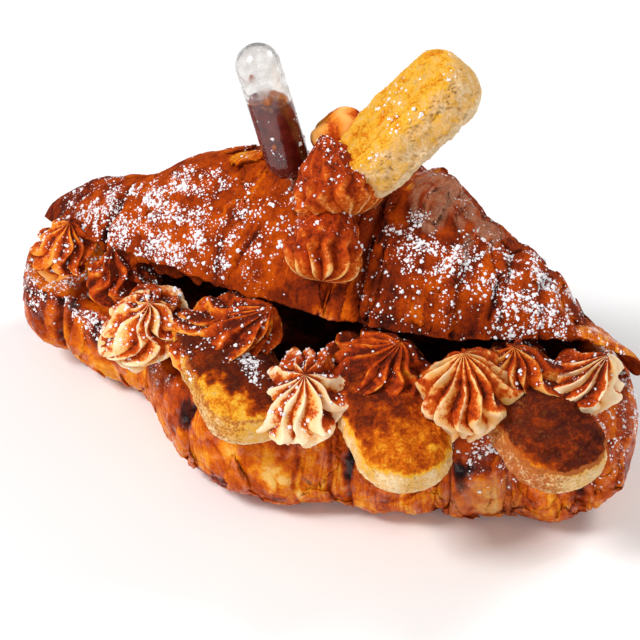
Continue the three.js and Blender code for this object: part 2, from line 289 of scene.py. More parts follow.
def crustMaterial():
    material, tree, shader = newMaterial("bakedCrust")
    streaks = put(tree, "Mapping", {"Vector": surfacePlace(tree), "Scale": (1.0, 0.07, 1.0)}).outputs[0]
    streak = grain(tree, 1.2, 5.0, 0.65, streaks)
    mottle, speckle = grain(tree, 6.0), grain(tree, 0.8, 3.0, 0.7)
    dusty = mark(tree, "dusty")
    streaky = sums(tree, "MULTIPLY", between(tree, streak, 0.3, 0.7, -0.2, 0.2), mark(tree, "laminated"))
    tone = sums(tree, "ADD", mark(tree, "tone"), streaky, between(tree, mottle, 0.3, 0.7, -0.1, 0.1),
                between(tree, speckle, 0.3, 0.7, -0.06, 0.06))
    colour = ramp(tree, tone, [(place, shade(*rgb)) for place, rgb in crustLook["tones"]])
    ashen = sums(tree, "MULTIPLY", mark(tree, "ashen"), between(tree, speckle, 0.35, 0.6, 0.25, 0.85))
    colour = blendColour(tree, ashen, colour, shade(*crustLook["ashen"]))
    tree.links.new(colour, shader.inputs["Base Color"])
    rough = between(tree, dusty, 0.1, 0.9, crustLook["gloss"], crustLook["dusty"])
    rough = sums(tree, "ADD", rough, between(tree, mottle, 0.3, 0.7, -0.05, 0.1))
    tree.links.new(rough, shader.inputs["Roughness"])
    setSockets(shader, crustLook["sockets"])
    glints = between(tree, grain(tree, 2.6, 4.0), 0.5, 0.62, 0.0, 1.0)
    coat = sums(tree, "MULTIPLY", between(tree, dusty, 0.0, 0.7, crustLook["coat"], 0.0), glints)
    tree.links.new(coat, shader.inputs["Coat Weight"])
    layered = sums(tree, "MULTIPLY", between(tree, streak, 0.25, 0.75, 0.0, 0.8), mark(tree, "laminated"))
    tree.links.new(bump(tree, sums(tree, "ADD", layered, speckle), 0.4), shader.inputs["Normal"])
    return material


# The two halves of the pastry, as [station, size in mm]
baseHalf = {
    "tips": (-115, 93),
    "halfWidth": [[-115, 4], [-109, 14.5], [-90, 23], [-63, 17.5], [-50, 20.5], [-35, 31.5], [-8, 41],
                  [16, 35], [55, 25], [76, 23.5], [88, 19], [93, 4]],
    "foot": [[-115, 21], [-105, 14.5], [-92, 7.5], [-70, 4], [-40, 1], [-25, 0], [66, 0], [82, 4],
             [93, 16]],
    "cut": [[-115, 30], [-60, 31], [0, 33], [50, 36], [78, 37], [93, 30]],
    "wraps": {"left": [50, 78], "right": [14, 39, 59, 77, 86]},
    "swell": 6,
    "around": 150, "across": 50, "relief": 0.9, "knobbly": (74, 84),
}
lidHalf = {
    "tips": (-110, 93),
    "frontOut": [[-110, 8], [-90, 14], [-68, 18], [-40, 17], [30, 17], [56, 11], [76, 5], [93, 0]],
    "frontUp": [[-110, 42], [-90, 47], [-68, 54], [-30, 56], [50, 56], [76, 54], [93, 45]],
    "backOut": [[-110, -7], [-90, -23], [-60, -35], [-25, -45], [10, -50], [38, -46], [60, -36], [76, -26],
                [93, -10]],
    "height": [[-110, 7], [-102, 14.5], [-88, 17], [-68, 23], [-58, 29.5], [-42, 34], [0, 36.3], [22, 36.5],
               [38, 28.5], [48, 21.5], [60, 16.5], [69, 10.5], [76, 3.5], [93, 1]],
    "wraps": {"left": [28, 68], "right": [14.5, 39, 51, 62, 74]},
    "swell": 3.2,
    "around": 170, "across": 40, "relief": 0.45, "knobbly": (95, 99),
}
wrapStep = {"rise": 0.9, "overhang": 0.6, "wander": 2.0, "fine": 0.3, "coarse": 0.75}
hingeGap = 0.4


def edgeStations(half):
    return [-e for e in half["wraps"]["left"]] + list(half["wraps"]["right"])


def stationSamples(half):
    # even stations, closer at the tips and where a wrap steps down
    low, high = half["tips"]
    tips = [tip + side * d for tip, side in ((low, 1), (high, -1)) for d in (0, 0.2, 0.5, 1, 1.6, 2.3)]
    steps = [edge + np.arange(-2, 2.1, wrapStep["fine"]) for edge in edgeStations(half)]
    every = np.sort(np.concatenate([np.arange(low, high, wrapStep["coarse"]), tips, *steps]))
    every = every[(every >= low) & (every <= high)]
    keep = np.concatenate([[True], np.diff(every) > 0.12])
    return every[keep]


def wrapSwell(half, station):
    # a wrap swells and drops in a step at its outer edge, where the next one out begins
    left = station < 0
    swell = np.zeros_like(station)
    for side, chosen, tip in (("left", left, -half["tips"][0]), ("right", ~left, half["tips"][1])):
        edges = np.array(half["wraps"][side], float)
        distance = np.abs(station)
        passed = np.searchsorted(edges, distance, side="right")
        start = np.concatenate([[-edges[0]], edges])[passed]
        end = np.concatenate([edges, [tip]])[passed]
        bulge = np.sin(np.pi * (0.08 + 0.74 * (distance - start) / (end - start)))
        step = np.where(passed > 0, np.clip((distance - start) / wrapStep["rise"], 0, 1), 1)
        fade = np.sqrt(1 - np.minimum(1, distance / tip) ** 8)
        swell += chosen * half["swell"] * fade * (math.sin(0.82 * math.pi) * (1 - step) + step * bulge)
    return swell


def overhang(half, station):
    # the edge of each wrap leans out over the next one, and the next one starts tucked under it
    lean = np.zeros_like(station)
    for edge in edgeStations(half):
        away = np.sign(edge) * (station - edge)
        lean += np.sign(edge) * wrapStep["overhang"] * np.exp(-((away + 0.5) / 1.1) ** 2)
        lean -= np.sign(edge) * wrapStep["overhang"] * np.exp(-((away - wrapStep["rise"]) / 0.8) ** 2)
    return lean


def tipRound(half, station):
    ends = np.minimum(station - half["tips"][0], half["tips"][1] - station)
    return np.sqrt(1 - (1 - np.clip(ends / 3.5, 0, 1)) ** 2) * 0.92 + 0.08


def baseGrid():
    s = stationSamples(baseHalf)[:, None]
    swell = wrapSwell(baseHalf, s)
    halfWidth = follow(baseHalf["halfWidth"], s) + swell
    cut, foot = follow(baseHalf["cut"], s), follow(baseHalf["foot"], s)
    belly = (foot + cut) / 2
    under, over = (belly - foot) * 1.08 + swell * 0.3, (cut - belly) * 1.75
    rim = np.arcsin(((cut - belly) / over) ** 1.25)
    turn = -rim + (np.pi + 2 * rim) * np.linspace(0, 1, baseHalf["around"] + 1)
    down = squarer(np.sin(turn), 2.5)
    out = halfWidth * squarer(np.cos(turn), 2.5)
    up = belly - down * np.where(down > 0, under, over)
    share = np.linspace(0, 1, baseHalf["across"] + 2)[1:-1]
    faceOut = out[:, -1:] + (out[:, :1] - out[:, -1:]) * share
    out, up = np.hstack([out, faceOut]), np.hstack([up, np.repeat(cut, len(share), 1)])
    middle = (foot + cut) / 2
    shrink = tipRound(baseHalf, s)
    return pastryPoint(s, out * shrink, middle + (up - middle) * shrink), s


def lidGrid():
    s = stationSamples(lidHalf)[:, None]
    ragged = np.stack([s, 0 * s, 0 * s], -1)
    frontOut = follow(lidHalf["frontOut"], s) + 0.8 * field(ragged, 7, 1) + 0.5 * field(ragged, 2.2, 2)
    frontUp = follow(lidHalf["frontUp"], s) + 0.7 * field(ragged, 5, 3) + 0.4 * field(ragged, 1.8, 4)
    backOut, backUp = follow(lidHalf["backOut"], s), follow(baseHalf["cut"], s) + hingeGap
    half = np.hypot(frontOut - backOut, frontUp - backUp) / 2
    tilt = np.arctan2(frontUp - backUp, frontOut - backOut)
    height = follow(lidHalf["height"], s) + wrapSwell(lidHalf, s)
    turn = np.pi * np.linspace(0, 1, lidHalf["around"] + 1)
    forward, above = half * squarer(np.cos(turn), 2.3), height * squarer(np.sin(turn), 2.2)
    share = np.linspace(-1, 1, lidHalf["across"] + 2)[1:-1]
    forward = np.hstack([forward, half * share]) * tipRound(lidHalf, s)
    above = np.hstack([above, 0 * half * share]) * tipRound(lidHalf, s)
    out = (frontOut + backOut) / 2 + forward * np.cos(tilt) - above * np.sin(tilt)
    up = (frontUp + backUp) / 2 + forward * np.sin(tilt) + above * np.cos(tilt)
    return pastryPoint(s, out, up), s


def lines(station, share, cracks, seed):
    # how deep named cracks go at each point; each is [station, share round] points, width and depth
    depth = np.zeros_like(share)
    wobble = field(np.stack([station, share * 60, 0 * share], -1), 4, seed)
    for points, width, deep in cracks:
        points = sorted(points, key=lambda p: p[1])
        at, level = np.array([p[0] for p in points]), np.array([p[1] for p in points])
        off = np.abs(station - np.interp(share, level, at) - 0.9 * wobble)
        ends = smooth(share, level[0] - 0.02, level[0] + 0.01)
        ends = ends * (1 - smooth(share, level[-1] - 0.01, level[-1] + 0.03))
        depth = np.maximum(depth, deep * (1 - smooth(off, 0.25 * width, width)) * ends)
    return depth


def spots(along, about, places, ragged):
    # 1 in the middle of ragged patches, each with its place, its size along and round, and its strength
    cover = np.zeros_like(ragged)
    for at, level, wide, high, strength in places:
        away = np.hypot((along - at) / wide, (about - level) / high)
        cover = np.maximum(cover, strength * smooth(1.5 - away + 0.7 * ragged, 0.1, 0.9))
    return cover


# Flaky layers on both halves, as sizes in mm along, round and across, and as steps of the layers' noise
flaky = {
    "streak": (1.9, 24, 1), "fineStreak": (1.3, 9, 1), "layer": (7, 22, 1), "fineLayer": (1.6, 5, 1),
    "hair": (5.5, 45, 1), "patch": (9, 14, 1e3), "levels": (-0.3, -0.05, 0.2), "knobs": 2.4,
}


def dress(grid, s, half, cracks, seed):
    # adds wandering wrap edges, flaky layers, streaks and cracks, and marks where everything lies
    count = half["around"] + 1
    station = s + 0 * grid[:, :, 0]
    steps = np.linalg.norm(np.diff(grid[:, :count], axis=1), axis=-1)
    around = np.zeros_like(station)
    around[:, 1:count] = np.cumsum(steps, 1)
    around[:, count:] = around[:, count - 1:count] + 5
    share = np.zeros_like(station)
    share[:, :count] = np.linspace(0, 1, count)
    share[:, count:] = -1
    onCrust = share >= 0
    inside = np.zeros_like(station)
    inside[:, count:] = np.linalg.norm(grid[:, count:] - grid[:, :1], axis=-1)
    surface = np.stack([station, around, 0 * station + seed], -1)
    normal = gridNormals(grid)
    ends = smooth(np.minimum(s - half["tips"][0], half["tips"][1] - s), 0, 8)
    broad, lumps = field(grid, 26, seed), field(grid, 9, seed)
    streak = field(surface, flaky["streak"], seed) + 0.5 * field(surface, flaky["fineStreak"], seed)
    layer = field(surface, flaky["layer"], seed + 5) + 0.3 * field(surface, flaky["fineLayer"], seed)
    layers = sum(smooth(layer - level, 0, 0.05) for level in flaky["levels"])
    edges = sum(np.exp(-((layer - level) / 0.045) ** 2) for level in flaky["levels"])
    hair = 1 - smooth(np.abs(field(surface, flaky["hair"], seed + 9)), 0, 0.05)
    hair *= smooth(field(grid, 16, seed + 3), -0.1, 0.25)
    cracked = lines(station, share, cracks, seed)
    shift = [2.2 * field(surface, 5, seed + 4), 3 * field(surface, 6, seed + 6), 0 * share]
    rim, patch = scales(surface + np.stack(shift, -1), flaky["patch"], seed)
    crease = np.exp(-((rim / 0.07) ** 2))
    patchy = 0.5 * (patch - 0.5) * smooth(rim, 0, 0.12) - 0.22 * crease
    depth = half["relief"]
    fine = depth * (0.12 * streak + 0.42 * layers - 0.5 * hair + patchy)
    horn = smooth(station, *half["knobbly"]) * onCrust
    knobs = flaky["knobs"] * horn * field(grid, 7, seed + 12)
    height = 0.9 * broad + 0.45 * lumps + knobs + fine - cracked
    crumbly = -0.9 * smooth(field(grid, 3.2, seed + 2), 0.0, 0.5) + 0.5 * field(grid, 1.6, seed)
    height = np.where(onCrust, height - 0.8, crumbly - 0.3) * (0.25 + 0.75 * ends)
    along = np.stack([np.cos(s / arcRadius), np.sin(s / arcRadius), 0 * s], -1)
    wander = wrapStep["wander"] * field(grid, 20, seed + 7) * ends
    lean = overhang(half, s) * (0.55 + 0.4 * field(grid, 6, seed + 8)) * ends * onCrust
    lean = lean * (1 - smooth(share, 0.5, 0.7))
    grid = grid + normal * height[..., None] + along * (wander + lean)[..., None]
    # under marks where a wrap starts tucked under the one before, which the tone paints darker as painted
    # shade
    tucked = [np.sign(edge) * (station - edge) - wrapStep["rise"] for edge in edgeStations(half)]
    under = sum(np.exp(-(away / 0.9) ** 2) for away in tucked)
    marks = {"station": station, "around": around, "ashen": 0 * station}
    hints = {
        "share": share, "layer": layer, "edges": edges, "hair": hair, "streak": streak, "lumps": lumps,
        "cracked": np.clip(cracked, 0, 1), "crease": crease * (0.3 + 0.7 * depth), "patch": patch - 0.5,
        "normal": normal, "onCrust": onCrust, "under": under * ends, "inside": inside,
    }
    return grid, marks, hints


def relief(hints):
    # painted shade and light that follow the relief: cracks, hair lines, creases, edges tucked under the
    # wrap before and the rims of flaky layers are painted darker, raised layers are painted lighter, and
    # each flaky patch gets a random tone of its own
    return (0.3 * hints["cracked"] + 0.13 * hints["hair"] + 0.22 * hints["under"] + 0.07 * hints["edges"]
            + 0.16 * hints["crease"] + 0.14 * hints["patch"] - 0.06 * hints["layer"])


def clustered(grid, seed):
    # powdered sugar falls in drifts
    return smooth(field(grid, 5, seed) + 0.8 * field(grid, 2, seed + 1), -0.55, 0.45)


crustPaint = crustMaterial()

baseSpots = {
    # [station, height above the foot, size along, size up, strength] of what shows on the front
    "gold": [[86, 16, 7, 12, 1.0], [91, 27, 5, 8, 0.9], [-5, 22, 9, 6, 1], [-19, 19, 5, 9, 0.7],
             [70, 8, 11, 7, 0.9], [-58, 9, 13, 6, 0.9], [11, 18, 4, 12, 0.6], [35, 10, 8, 8, 0.7],
             [-84, 8, 9, 5, 0.6], [61, 14, 5, 10, 0.7], [23, 8, 5, 5, 0.9], [-34, 6, 9, 5, 0.8],
             [-40, 18, 8, 6, 0.6], [80, 12, 6, 6, 0.6]],
    "pale": [[3.5, 17, 3.2, 5, 1], [40, 4, 6, 4, 0.5], [53, 13, 4, 6, 0.7], [-62, 5, 6, 3, 0.3]],
    "striated": [[13, 18, 5, 14, 1], [34, 10, 11, 12, 1], [62, 17, 6, 12, 1], [-19, 20, 4, 12, 0.8],
                 [72, 10, 5, 12, 0.6]],
    "ashen": [[52, 14, 6, 7, 0.6], [60, 9, 4, 5, 0.4]],
    "dark": [[-8, 9, 12, 2.5, 0.6], [19, 22, 1, 5, 0.9], [47, 24, 1.6, 6, 1.2], [53, 27, 6, 4, 0.6],
             [-24, 27, 2, 5, 0.9], [-97, 28, 12, 7, 0.4], [-67, 23, 3, 6, 0.6]],
    "sugar": [[-96, 28, 12, 9, 0.45], [-72, 29, 6, 7, 1], [53, 29, 6, 5, 0.9], [86, 26, 10, 12, 0.4],
              [-40, 29, 10, 3, 0.3], [56, 21, 6, 7, 0.55]],
}
baseCracks = [
    ([[-28, 0.32], [-25, 0.2], [-22, 0.03]], 1.3, 2.0),
    ([[8, 0.04], [7.5, 0.35]], 0.7, 0.8),
    ([[19.5, 0.05], [19, 0.3]], 0.9, 1.4),
    ([[44.5, 0.0], [44, 0.4]], 0.8, 1.4),
    ([[-83, 0.0], [-82, 0.5]], 1.4, 2.2),
    ([[58.5, 0.0], [58, 0.5]], 0.9, 1.2),
    ([[81, 0.02], [82.5, 0.2], [81.5, 0.45]], 1.2, 1.5),
    ([[89.5, 0.05], [90, 0.3]], 1.1, 1.3),
]


def buildBase():
    grid, s = baseGrid()
    grid, marks, hints = dress(grid, s, baseHalf, baseCracks, 1.0)
    grid[:, :, 2] = np.maximum(grid[:, :, 2], 0.0)
    station, up, onCrust = marks["station"], grid[:, :, 2], hints["onCrust"]
    closed = smooth(station, 74, 80) + 1 - smooth(station, -82, -74)
    front = (hints["share"] < 0.5) & onCrust
    ragged = field(grid, 5, 4) + 0.6 * hints["layer"]
    places = {name: spots(station, up, baseSpots[name], ragged) for name in baseSpots}
    # relief(hints) adds painted shade in cracks, creases and tucked edges, and painted light on raised
    # layers
    skinTone = (0.38 + 0.1 * smooth(up, 16, 32) + relief(hints) - 0.19 * places["gold"] * front
                - 0.26 * places["pale"] * front + 0.36 * places["dark"] * (front | (closed > 0.5))
                + 0.06 * smooth(hints["share"], 0.5, 0.8) + 0.08 * hints["lumps"] + 0.08 * ragged)
    # The cut face inside the mouth is cocoa-dark crumb painted nearly black as painted shade, lighter
    # towards its rim and at the closed tips
    rimmed = np.maximum(closed, 1 - smooth(hints["inside"] + 2 * ragged, 3, 9))
    cut = 0.86 - 0.42 * rimmed + 0.12 * ragged + closed * (0.2 * hints["patch"] + 0.1 * hints["lumps"])
    marks["ashen"] = places["ashen"] * front * (1 - 0.6 * hints["crease"])
    marks["laminated"] = np.clip(0.08 + 0.8 * places["striated"] * front, 0, 1)
    marks["tone"] = np.clip(np.where(onCrust, skinTone, cut), 0, 1)
    marks["dusty"] = np.clip(np.where(onCrust, 0.05 + 0.25 * smooth(up, 24, 34), 0.8 - 0.6 * closed), 0, 1)
    skyward = np.where(onCrust, smooth(hints["normal"][..., 2], -0.1, 0.5), rimmed)
    marks["sugar"] = places["sugar"] * skyward * clustered(grid, 3) * (front | (closed > 0.5))
    makePiece("crustBase", [skin(grid, **marks)], crustPaint, "croissant_base")
    return grid, s[:, 0], marks


lidSpots = {
    # [station, share round from the front rim, size along, size round, strength]
    "rust": [[-60, 0.2, 50, 0.4, 1], [-12, 0.2, 12, 0.25, 0.8], [34, 0.08, 8, 0.08, 0.8],
             [82, 0.3, 12, 0.5, 0.6], [62, 0.05, 10, 0.08, 0.6]],
    "gold": [[20, 0.48, 7, 0.1, 0.9], [86, 0.22, 13, 0.45, 1.25], [-38, 0.4, 5, 0.05, 0.8],
             [-7, 0.14, 3, 0.12, 0.3], [31, 0.07, 3, 0.04, 0.6], [5, 0.012, 3, 0.02, 1.4],
             [44, 0.4, 6, 0.08, 0.2]],
    "ashen": [[30, 0.42, 11, 0.12, 1.2], [24, 0.36, 6, 0.06, 0.8], [41, 0.42, 7, 0.1, 0.9]],
    "dark": [[33, 0.01, 14, 0.022, 0.9], [50, 0.2, 2, 0.2, 0.3], [-98, 0.2, 14, 0.4, 0.7],
             [24, 0.2, 8, 0.2, 0.25], [1, 0.05, 12, 0.05, 0.6], [12, 0.2, 2.5, 0.15, 0.6]],
    "sugar": [[-58, 0.12, 31, 0.13, 0.85], [-44, 0.23, 16, 0.08, 0.4], [-92, 0.3, 14, 0.3, 0.13],
              [29, 0.22, 10, 0.08, 0.85], [59, 0.2, 13, 0.22, 0.8], [-14, 0.2, 10, 0.15, 0.2],
              [30, 0.15, 16, 0.15, 0.1], [48, 0.28, 8, 0.14, 0.4], [-20, 0.65, 60, 0.2, 0.14],
              [82, 0.2, 10, 0.3, 0.07], [45, 0.12, 8, 0.12, 0.12]],
}
lidCracks = [
    ([[13.6, 0.34], [13.2, 0.18], [12.7, 0.11], [14, 0.05], [15.7, 0.0]], 2.0, 3.4),
    ([[17.5, 0.2], [16.6, 0.1], [17.5, 0.0]], 0.7, 1.4),
    ([[45.9, 0.4], [49.1, 0.24], [49, 0.08]], 0.8, 1.3),
    ([[33, 0.55], [31, 0.3]], 0.7, 0.9),
    ([[-20, 0.16], [-23, 0.05]], 0.9, 1.3),
    ([[5, 0.1], [4, 0.0]], 1.0, 1.5),
    ([[-71, 0.5], [-68, 0.0]], 1.8, 2.6),
]


def buildLid():
    grid, s = lidGrid()
    grid, marks, hints = dress(grid, s, lidHalf, lidCracks, 2.0)
    station, share, onCrust = marks["station"], hints["share"], hints["onCrust"]
    ragged = field(grid, 6, 6) + 0.6 * hints["layer"]
    places = {name: spots(station, share, lidSpots[name], ragged) for name in lidSpots}
    # relief(hints) adds painted shade in cracks, creases and tucked edges, and painted light on raised
    # layers
    skinTone = (0.6 + 0.7 * relief(hints) - 0.07 * places["rust"] - 0.24 * places["gold"]
                + 0.2 * places["dark"] - 0.05 * hints["streak"] * smooth(share, 0.3, 0.5) + 0.05 * ragged)
    marks["laminated"] = np.clip(0.15 + 0.7 * places["gold"] + 0.3 * smooth(share, 0.3, 0.45), 0, 1)
    blotch = 0.62 + 1.3 * hints["streak"] + 0.9 * hints["patch"] - hints["crease"]
    marks["ashen"] = smooth(places["ashen"] * blotch, 0.05, 0.6)
    closed = smooth(station, 72, 80) + 1 - smooth(station, -98, -90)
    # The lid's cut face is cocoa-dark crumb painted nearly black as painted shade, lighter at the closed
    # tips
    marks["tone"] = np.clip(np.where(onCrust, skinTone, 0.88 - 0.28 * closed + 0.1 * ragged), 0, 1)
    dusty = 0.95 - 0.7 * places["gold"] - 0.45 * smooth(share, 0.55, 0.8)
    marks["dusty"] = np.clip(np.where(onCrust, dusty, 0.9), 0, 1)
    skyward = smooth(hints["normal"][..., 2], -0.1, 0.4)
    marks["sugar"] = places["sugar"] * skyward * clustered(grid, 5) * (onCrust | (closed > 0.3))
    makePiece("crustLid", [skin(grid, **marks)], crustPaint, "croissant_lid")
    return grid, s[:, 0], marks


# Flakes that peel off the crust. A wanted one is [station, share round, half its width and length in mm,
# lift, side that lifts, tone]. The rest are drawn from the ranges below.
flakes = {
    "wanted": [[-38, 0.4, 5, 5, 3.5, 1, 0.3], [-31, 0.36, 4, 6, 1.5, -1, 0.45],
               [12, 0.24, 2.5, 12, 1.2, -1, 0.6], [16, 0.1, 3, 8, 1.0, 1, 0.6],
               [47.5, 0.3, 3, 8, 1.2, 1, 0.55], [31, 0.06, 4, 3, 0.8, -1, 0.4]],
    "perEdge": 5, "loose": 34, "thick": 0.4, "lift": (0.3, 1.3), "width": (1.6, 4.2), "length": (3, 10),
    "seed": 11,
}


def surfaceAt(surface, half, station, share):
    # places on a finished crust, the way it faces there, and its marks
    grid, stations, marks = surface
    rows, columns = np.interp(station, stations, np.arange(len(stations))), share * half["around"]
    row = np.clip(rows.astype(int), 0, len(stations) - 2)
    column = np.clip(columns.astype(int), 0, half["around"] - 1)
    down, over = rows - row, columns - column

    def blended(values):
        weights = ((1 - down) * (1 - over), (1 - down) * over, down * (1 - over), down * over)
        corners = (values[row, column], values[row, column + 1],
                   values[row + 1, column], values[row + 1, column + 1])
        return sum((w[..., None] if c.ndim > w.ndim else w) * c for w, c in zip(weights, corners))

    normal = blended(gridNormals(grid))
    return blended(grid), normal, {name: blended(value) for name, value in marks.items()}


def buildFlake(surface, half, spec, seed):
    station, share, width, length, lift, side, tone = spec
    u, v = np.linspace(-1, 1, 13)[None, :], np.linspace(-1, 1, 19)[:, None]
    around = surface[2]["around"][:, half["around"]].mean()
    edge = np.stack([0 * u + seed, u * 2.2, 0 * u], -1)
    jag = np.stack([0 * v + seed, v * 3, 0 * v + 9], -1)
    s = station + width * u * (1 - 0.45 * v**4) * (1 + 0.45 * field(jag, 0.45, seed))
    c = share + length / around * v * (1 - 0.3 * u**4) * (1 + 0.5 * field(edge, 0.45, seed))
    s, c = np.clip(s, half["tips"][0] + 1, half["tips"][1] - 1), np.clip(c, 0.004, 0.996)
    place, normal, marks = surfaceAt(surface, half, s, c)
    uneven = 0.7 + 0.5 * field(np.stack([s, c * 60, 0 * s], -1), 4, seed)
    peel = lift * np.clip(0.5 + 0.5 * u * side, 0, 1) ** 2 * uneven
    rim = np.minimum(1, 4 * (1 - np.maximum(np.abs(u), np.abs(v))) + 0.15)
    top = place + normal * (peel + flakes["thick"] * rim * 0.5 + 0.12)[..., None]
    under = place + normal * (peel - flakes["thick"] * rim * 0.5 - 0.12)[..., None]
    grid = np.concatenate([top, under[:, ::-1]], 1)
    marks = {name: np.concatenate([value, value[:, ::-1]], 1) for name, value in marks.items()}
    # the underside is painted darker as painted shade under the flake, and the top darker towards the edge
    # that lifts
    shown = 0.35 * marks["tone"] + 0.65 * tone + 0.1 * np.concatenate([u * side, 0.6 - 0 * u], 1)
    marks["tone"] = np.clip(shown, 0, 1)
    marks["sugar"] = marks["sugar"] * np.concatenate([1 + 0 * u, 0 * u], 1)
    return skin(grid, **marks)


def buildFlakes(surfaces):
    # named flakes on the lid, then ragged ones along the wraps' edges and loose ones anywhere
    chance = np.random.default_rng(flakes["seed"])
    skins = [buildFlake(surfaces[1][0], lidHalf, spec, k) for k, spec in enumerate(flakes["wanted"])]
    for surface, half, tone, top in surfaces:
        roots = [(edge, np.sign(edge)) for edge in edgeStations(half) for k in range(flakes["perEdge"])]
        roots += [(chance.uniform(-80, 78), chance.choice([-1, 1])) for k in range(flakes["loose"])]
        for station, side in roots:
            spec = [station - side * chance.uniform(0.5, 2), chance.uniform(0.04, top)]
            spec += [chance.uniform(*flakes[size]) for size in ("width", "length", "lift")]
            spec += [side, tone + chance.uniform(-0.12, 0.1)]
            skins.append(buildFlake(surface, half, spec, len(skins)))
    makePiece("crustFlakes", skins, crustPaint, None)


# Torn inner layers that hang below the lid's front rim: where, how far down and in, and their tone
innerStrips = [
    {"from": -72, "to": -50, "drop": 5.5, "tuck": 1.0, "tone": 0.42, "seed": 3},
    {"from": -60, "to": -34, "drop": 7.0, "tuck": 4.0, "tone": 0.5, "seed": 6},
]


def buildInnerLayers(surface):
    skins = []
    for strip in innerStrips:
        low, high = strip["from"], strip["to"]
        station = np.linspace(low, high, 90)[:, None]
        v = np.linspace(0, 1, 14)[None, :]
        rim = surfaceAt(surface, lidHalf, station[:, 0], 0.004 + 0 * station[:, 0])[0]
        ends = np.sqrt(np.clip(1 - (2 * (station - low) / (high - low) - 1) ** 2, 0, 1))
        spread = np.stack([station + 0 * v, 8 * v + 0 * station, 0 * station * v], -1)
        hang = strip["drop"] * v * (0.15 + 0.85 * ends) * (1 + 0.5 * field(spread, 4, strip["seed"]))
        curl = 0.6 + strip["tuck"] * (0.3 + np.sin(np.pi * 0.8 * v))
        curl = curl + 0.7 * field(spread, 3, strip["seed"] + 2)
        inward = np.stack([-np.sin(station / arcRadius), np.cos(station / arcRadius), 0 * station], -1)
        middle = rim[:, None] + inward * curl[..., None] - np.array([0, 0, 1.0]) * hang[..., None]
        thin = 0.4 * np.minimum(1, 6 * (1 - v) + 0.25)[..., None]
        grid = np.concatenate([middle - inward * thin, (middle + inward * thin)[:, ::-1]], 1)
        down = np.concatenate([v, v[:, ::-1]], 1)
        tone = strip["tone"] + 0.2 * down**2 + 0.1 * field(grid, 3, strip["seed"])
        marks = {"station": station, "around": 20 * down, "laminated": 0.4, "dusty": 0.6, "sugar": 0.0}
        skins.append(skin(grid, tone=tone, **marks))
    makePiece("innerLayers", skins, crustPaint, None)


baseSurface = buildBase()
lidSurface = buildLid()
buildInnerLayers(lidSurface)
buildFlakes(((baseSurface, baseHalf, 0.36, 0.55), (lidSurface, lidHalf, 0.54, 0.9)))
print("crust done")


# Ladyfingers: far end, direction, direction of the domed top, and [length, width, thickness] in mm.
# toast goes from 0, pale, through yellow and orange to 1, dark: below, round the side and on top.
# burn is how much earlier the right side browns, how far in the brown starts, and how much darker it is.
# pile is a heap of sugar: how far in, how far to the side, how long and how wide.
biscuits = {
    "biscuit_1": {"end": (3, -50, 37), "points": (0.7, -0.66, -0.12), "faces": (0, 0, 1),
                  "size": (50, 27, 15), "square": (2.4, 2.9), "toast": (0.02, 0.19, 0.36),
                  "burn": (0.42, -0.02, 0.48), "grooves": 0, "cocoa": 0.5, "sugar": (0.16, 0.5),
                  "pile": (-19, 3.5, 7, 3), "seed": 1},
    "biscuit_2": {"end": (49, -48, 34), "points": (0.66, -0.68, -0.2), "faces": (0, 0, 1),
                  "size": (46, 28, 14), "square": (2.3, 3.0), "toast": (0.03, 0.11, 0.5),
                  "burn": (-0.1, 0.3, 0.26), "grooves": 0, "rugged": 0.7, "sugar": (0.0, 1), "seed": 2},
    "biscuit_3": {"end": (87.5, -30.5, 35), "points": (0.72, -0.62, -0.2), "faces": (0, 0, 1),
                  "size": (42, 29, 15), "square": (2.4, 3.2), "toast": (0.02, 0.1, 0.56),
                  "burn": (0.7, -0.4, 0.28), "grooves": 0, "cocoa": 0.72, "rugged": 1, "sugar": (0.0, 1),
                  "seed": 3},
    "biscuit_top": {"end": (32, 21.5, 122.5), "points": (0.58, 0.41, 0.7), "faces": (-0.62, -0.35, 0.7),
                    "size": (45, 28.5, 17), "square": (3.6, 3.6), "blunt": 0.36, "toast": (0.0, 0.16, 0.3),
                    "burn": (0, 9, 0), "grooves": 1, "sugar": (0.1, 0), "seed": 4},
}
biscuitLook = {
    "tones": [(0.0, (254, 222, 174)), (0.14, (240, 188, 118)), (0.3, (252, 188, 52)),
              (0.46, (224, 112, 12)), (0.62, (170, 62, 8)), (0.8, (106, 36, 14)), (1.0, (60, 22, 18))],
    # the next colour is painted shade in the sponge's pits
    "pitShade": (164, 92, 36), "cocoa": (190, 104, 48), "around": 200, "along": 150,
    "sockets": {"Roughness": 0.88, "Specular IOR Level": 0.08, "Subsurface Weight": 0.1,
                "Subsurface Radius": (1.0, 0.6, 0.3), "Subsurface Scale": 0.0012},
}


def biscuitMaterial():
    material, tree, shader = newMaterial("spongeBiscuit")
    mottle, fine = grain(tree, 3.5, 4.0), grain(tree, 0.8, 4.0, 0.65)
    tone = sums(tree, "ADD", mark(tree, "toast"), between(tree, mottle, 0.3, 0.7, -0.07, 0.07),
                between(tree, fine, 0.3, 0.7, -0.08, 0.08))
    colour = ramp(tree, tone, [(place, shade(*rgb)) for place, rgb in biscuitLook["tones"]])
    # pits are painted darker: painted shade
    colour = blendColour(tree, mark(tree, "pitShade"), colour, shade(*biscuitLook["pitShade"]))
    brown = sums(tree, "ADD", mark(tree, "cocoa"), between(tree, fine, 0.3, 0.7, -0.2, 0.2),
                 between(tree, mottle, 0.3, 0.7, -0.12, 0.12))
    colour = blendColour(tree, between(tree, brown, 0.3, 0.8), colour, shade(*biscuitLook["cocoa"]))
    tree.links.new(colour, shader.inputs["Base Color"])
    setSockets(shader, biscuitLook["sockets"])
    pores = sums(tree, "ADD", fine, grain(tree, 0.35, 2.0))
    tree.links.new(bump(tree, pores, 0.45), shader.inputs["Normal"])
    return material


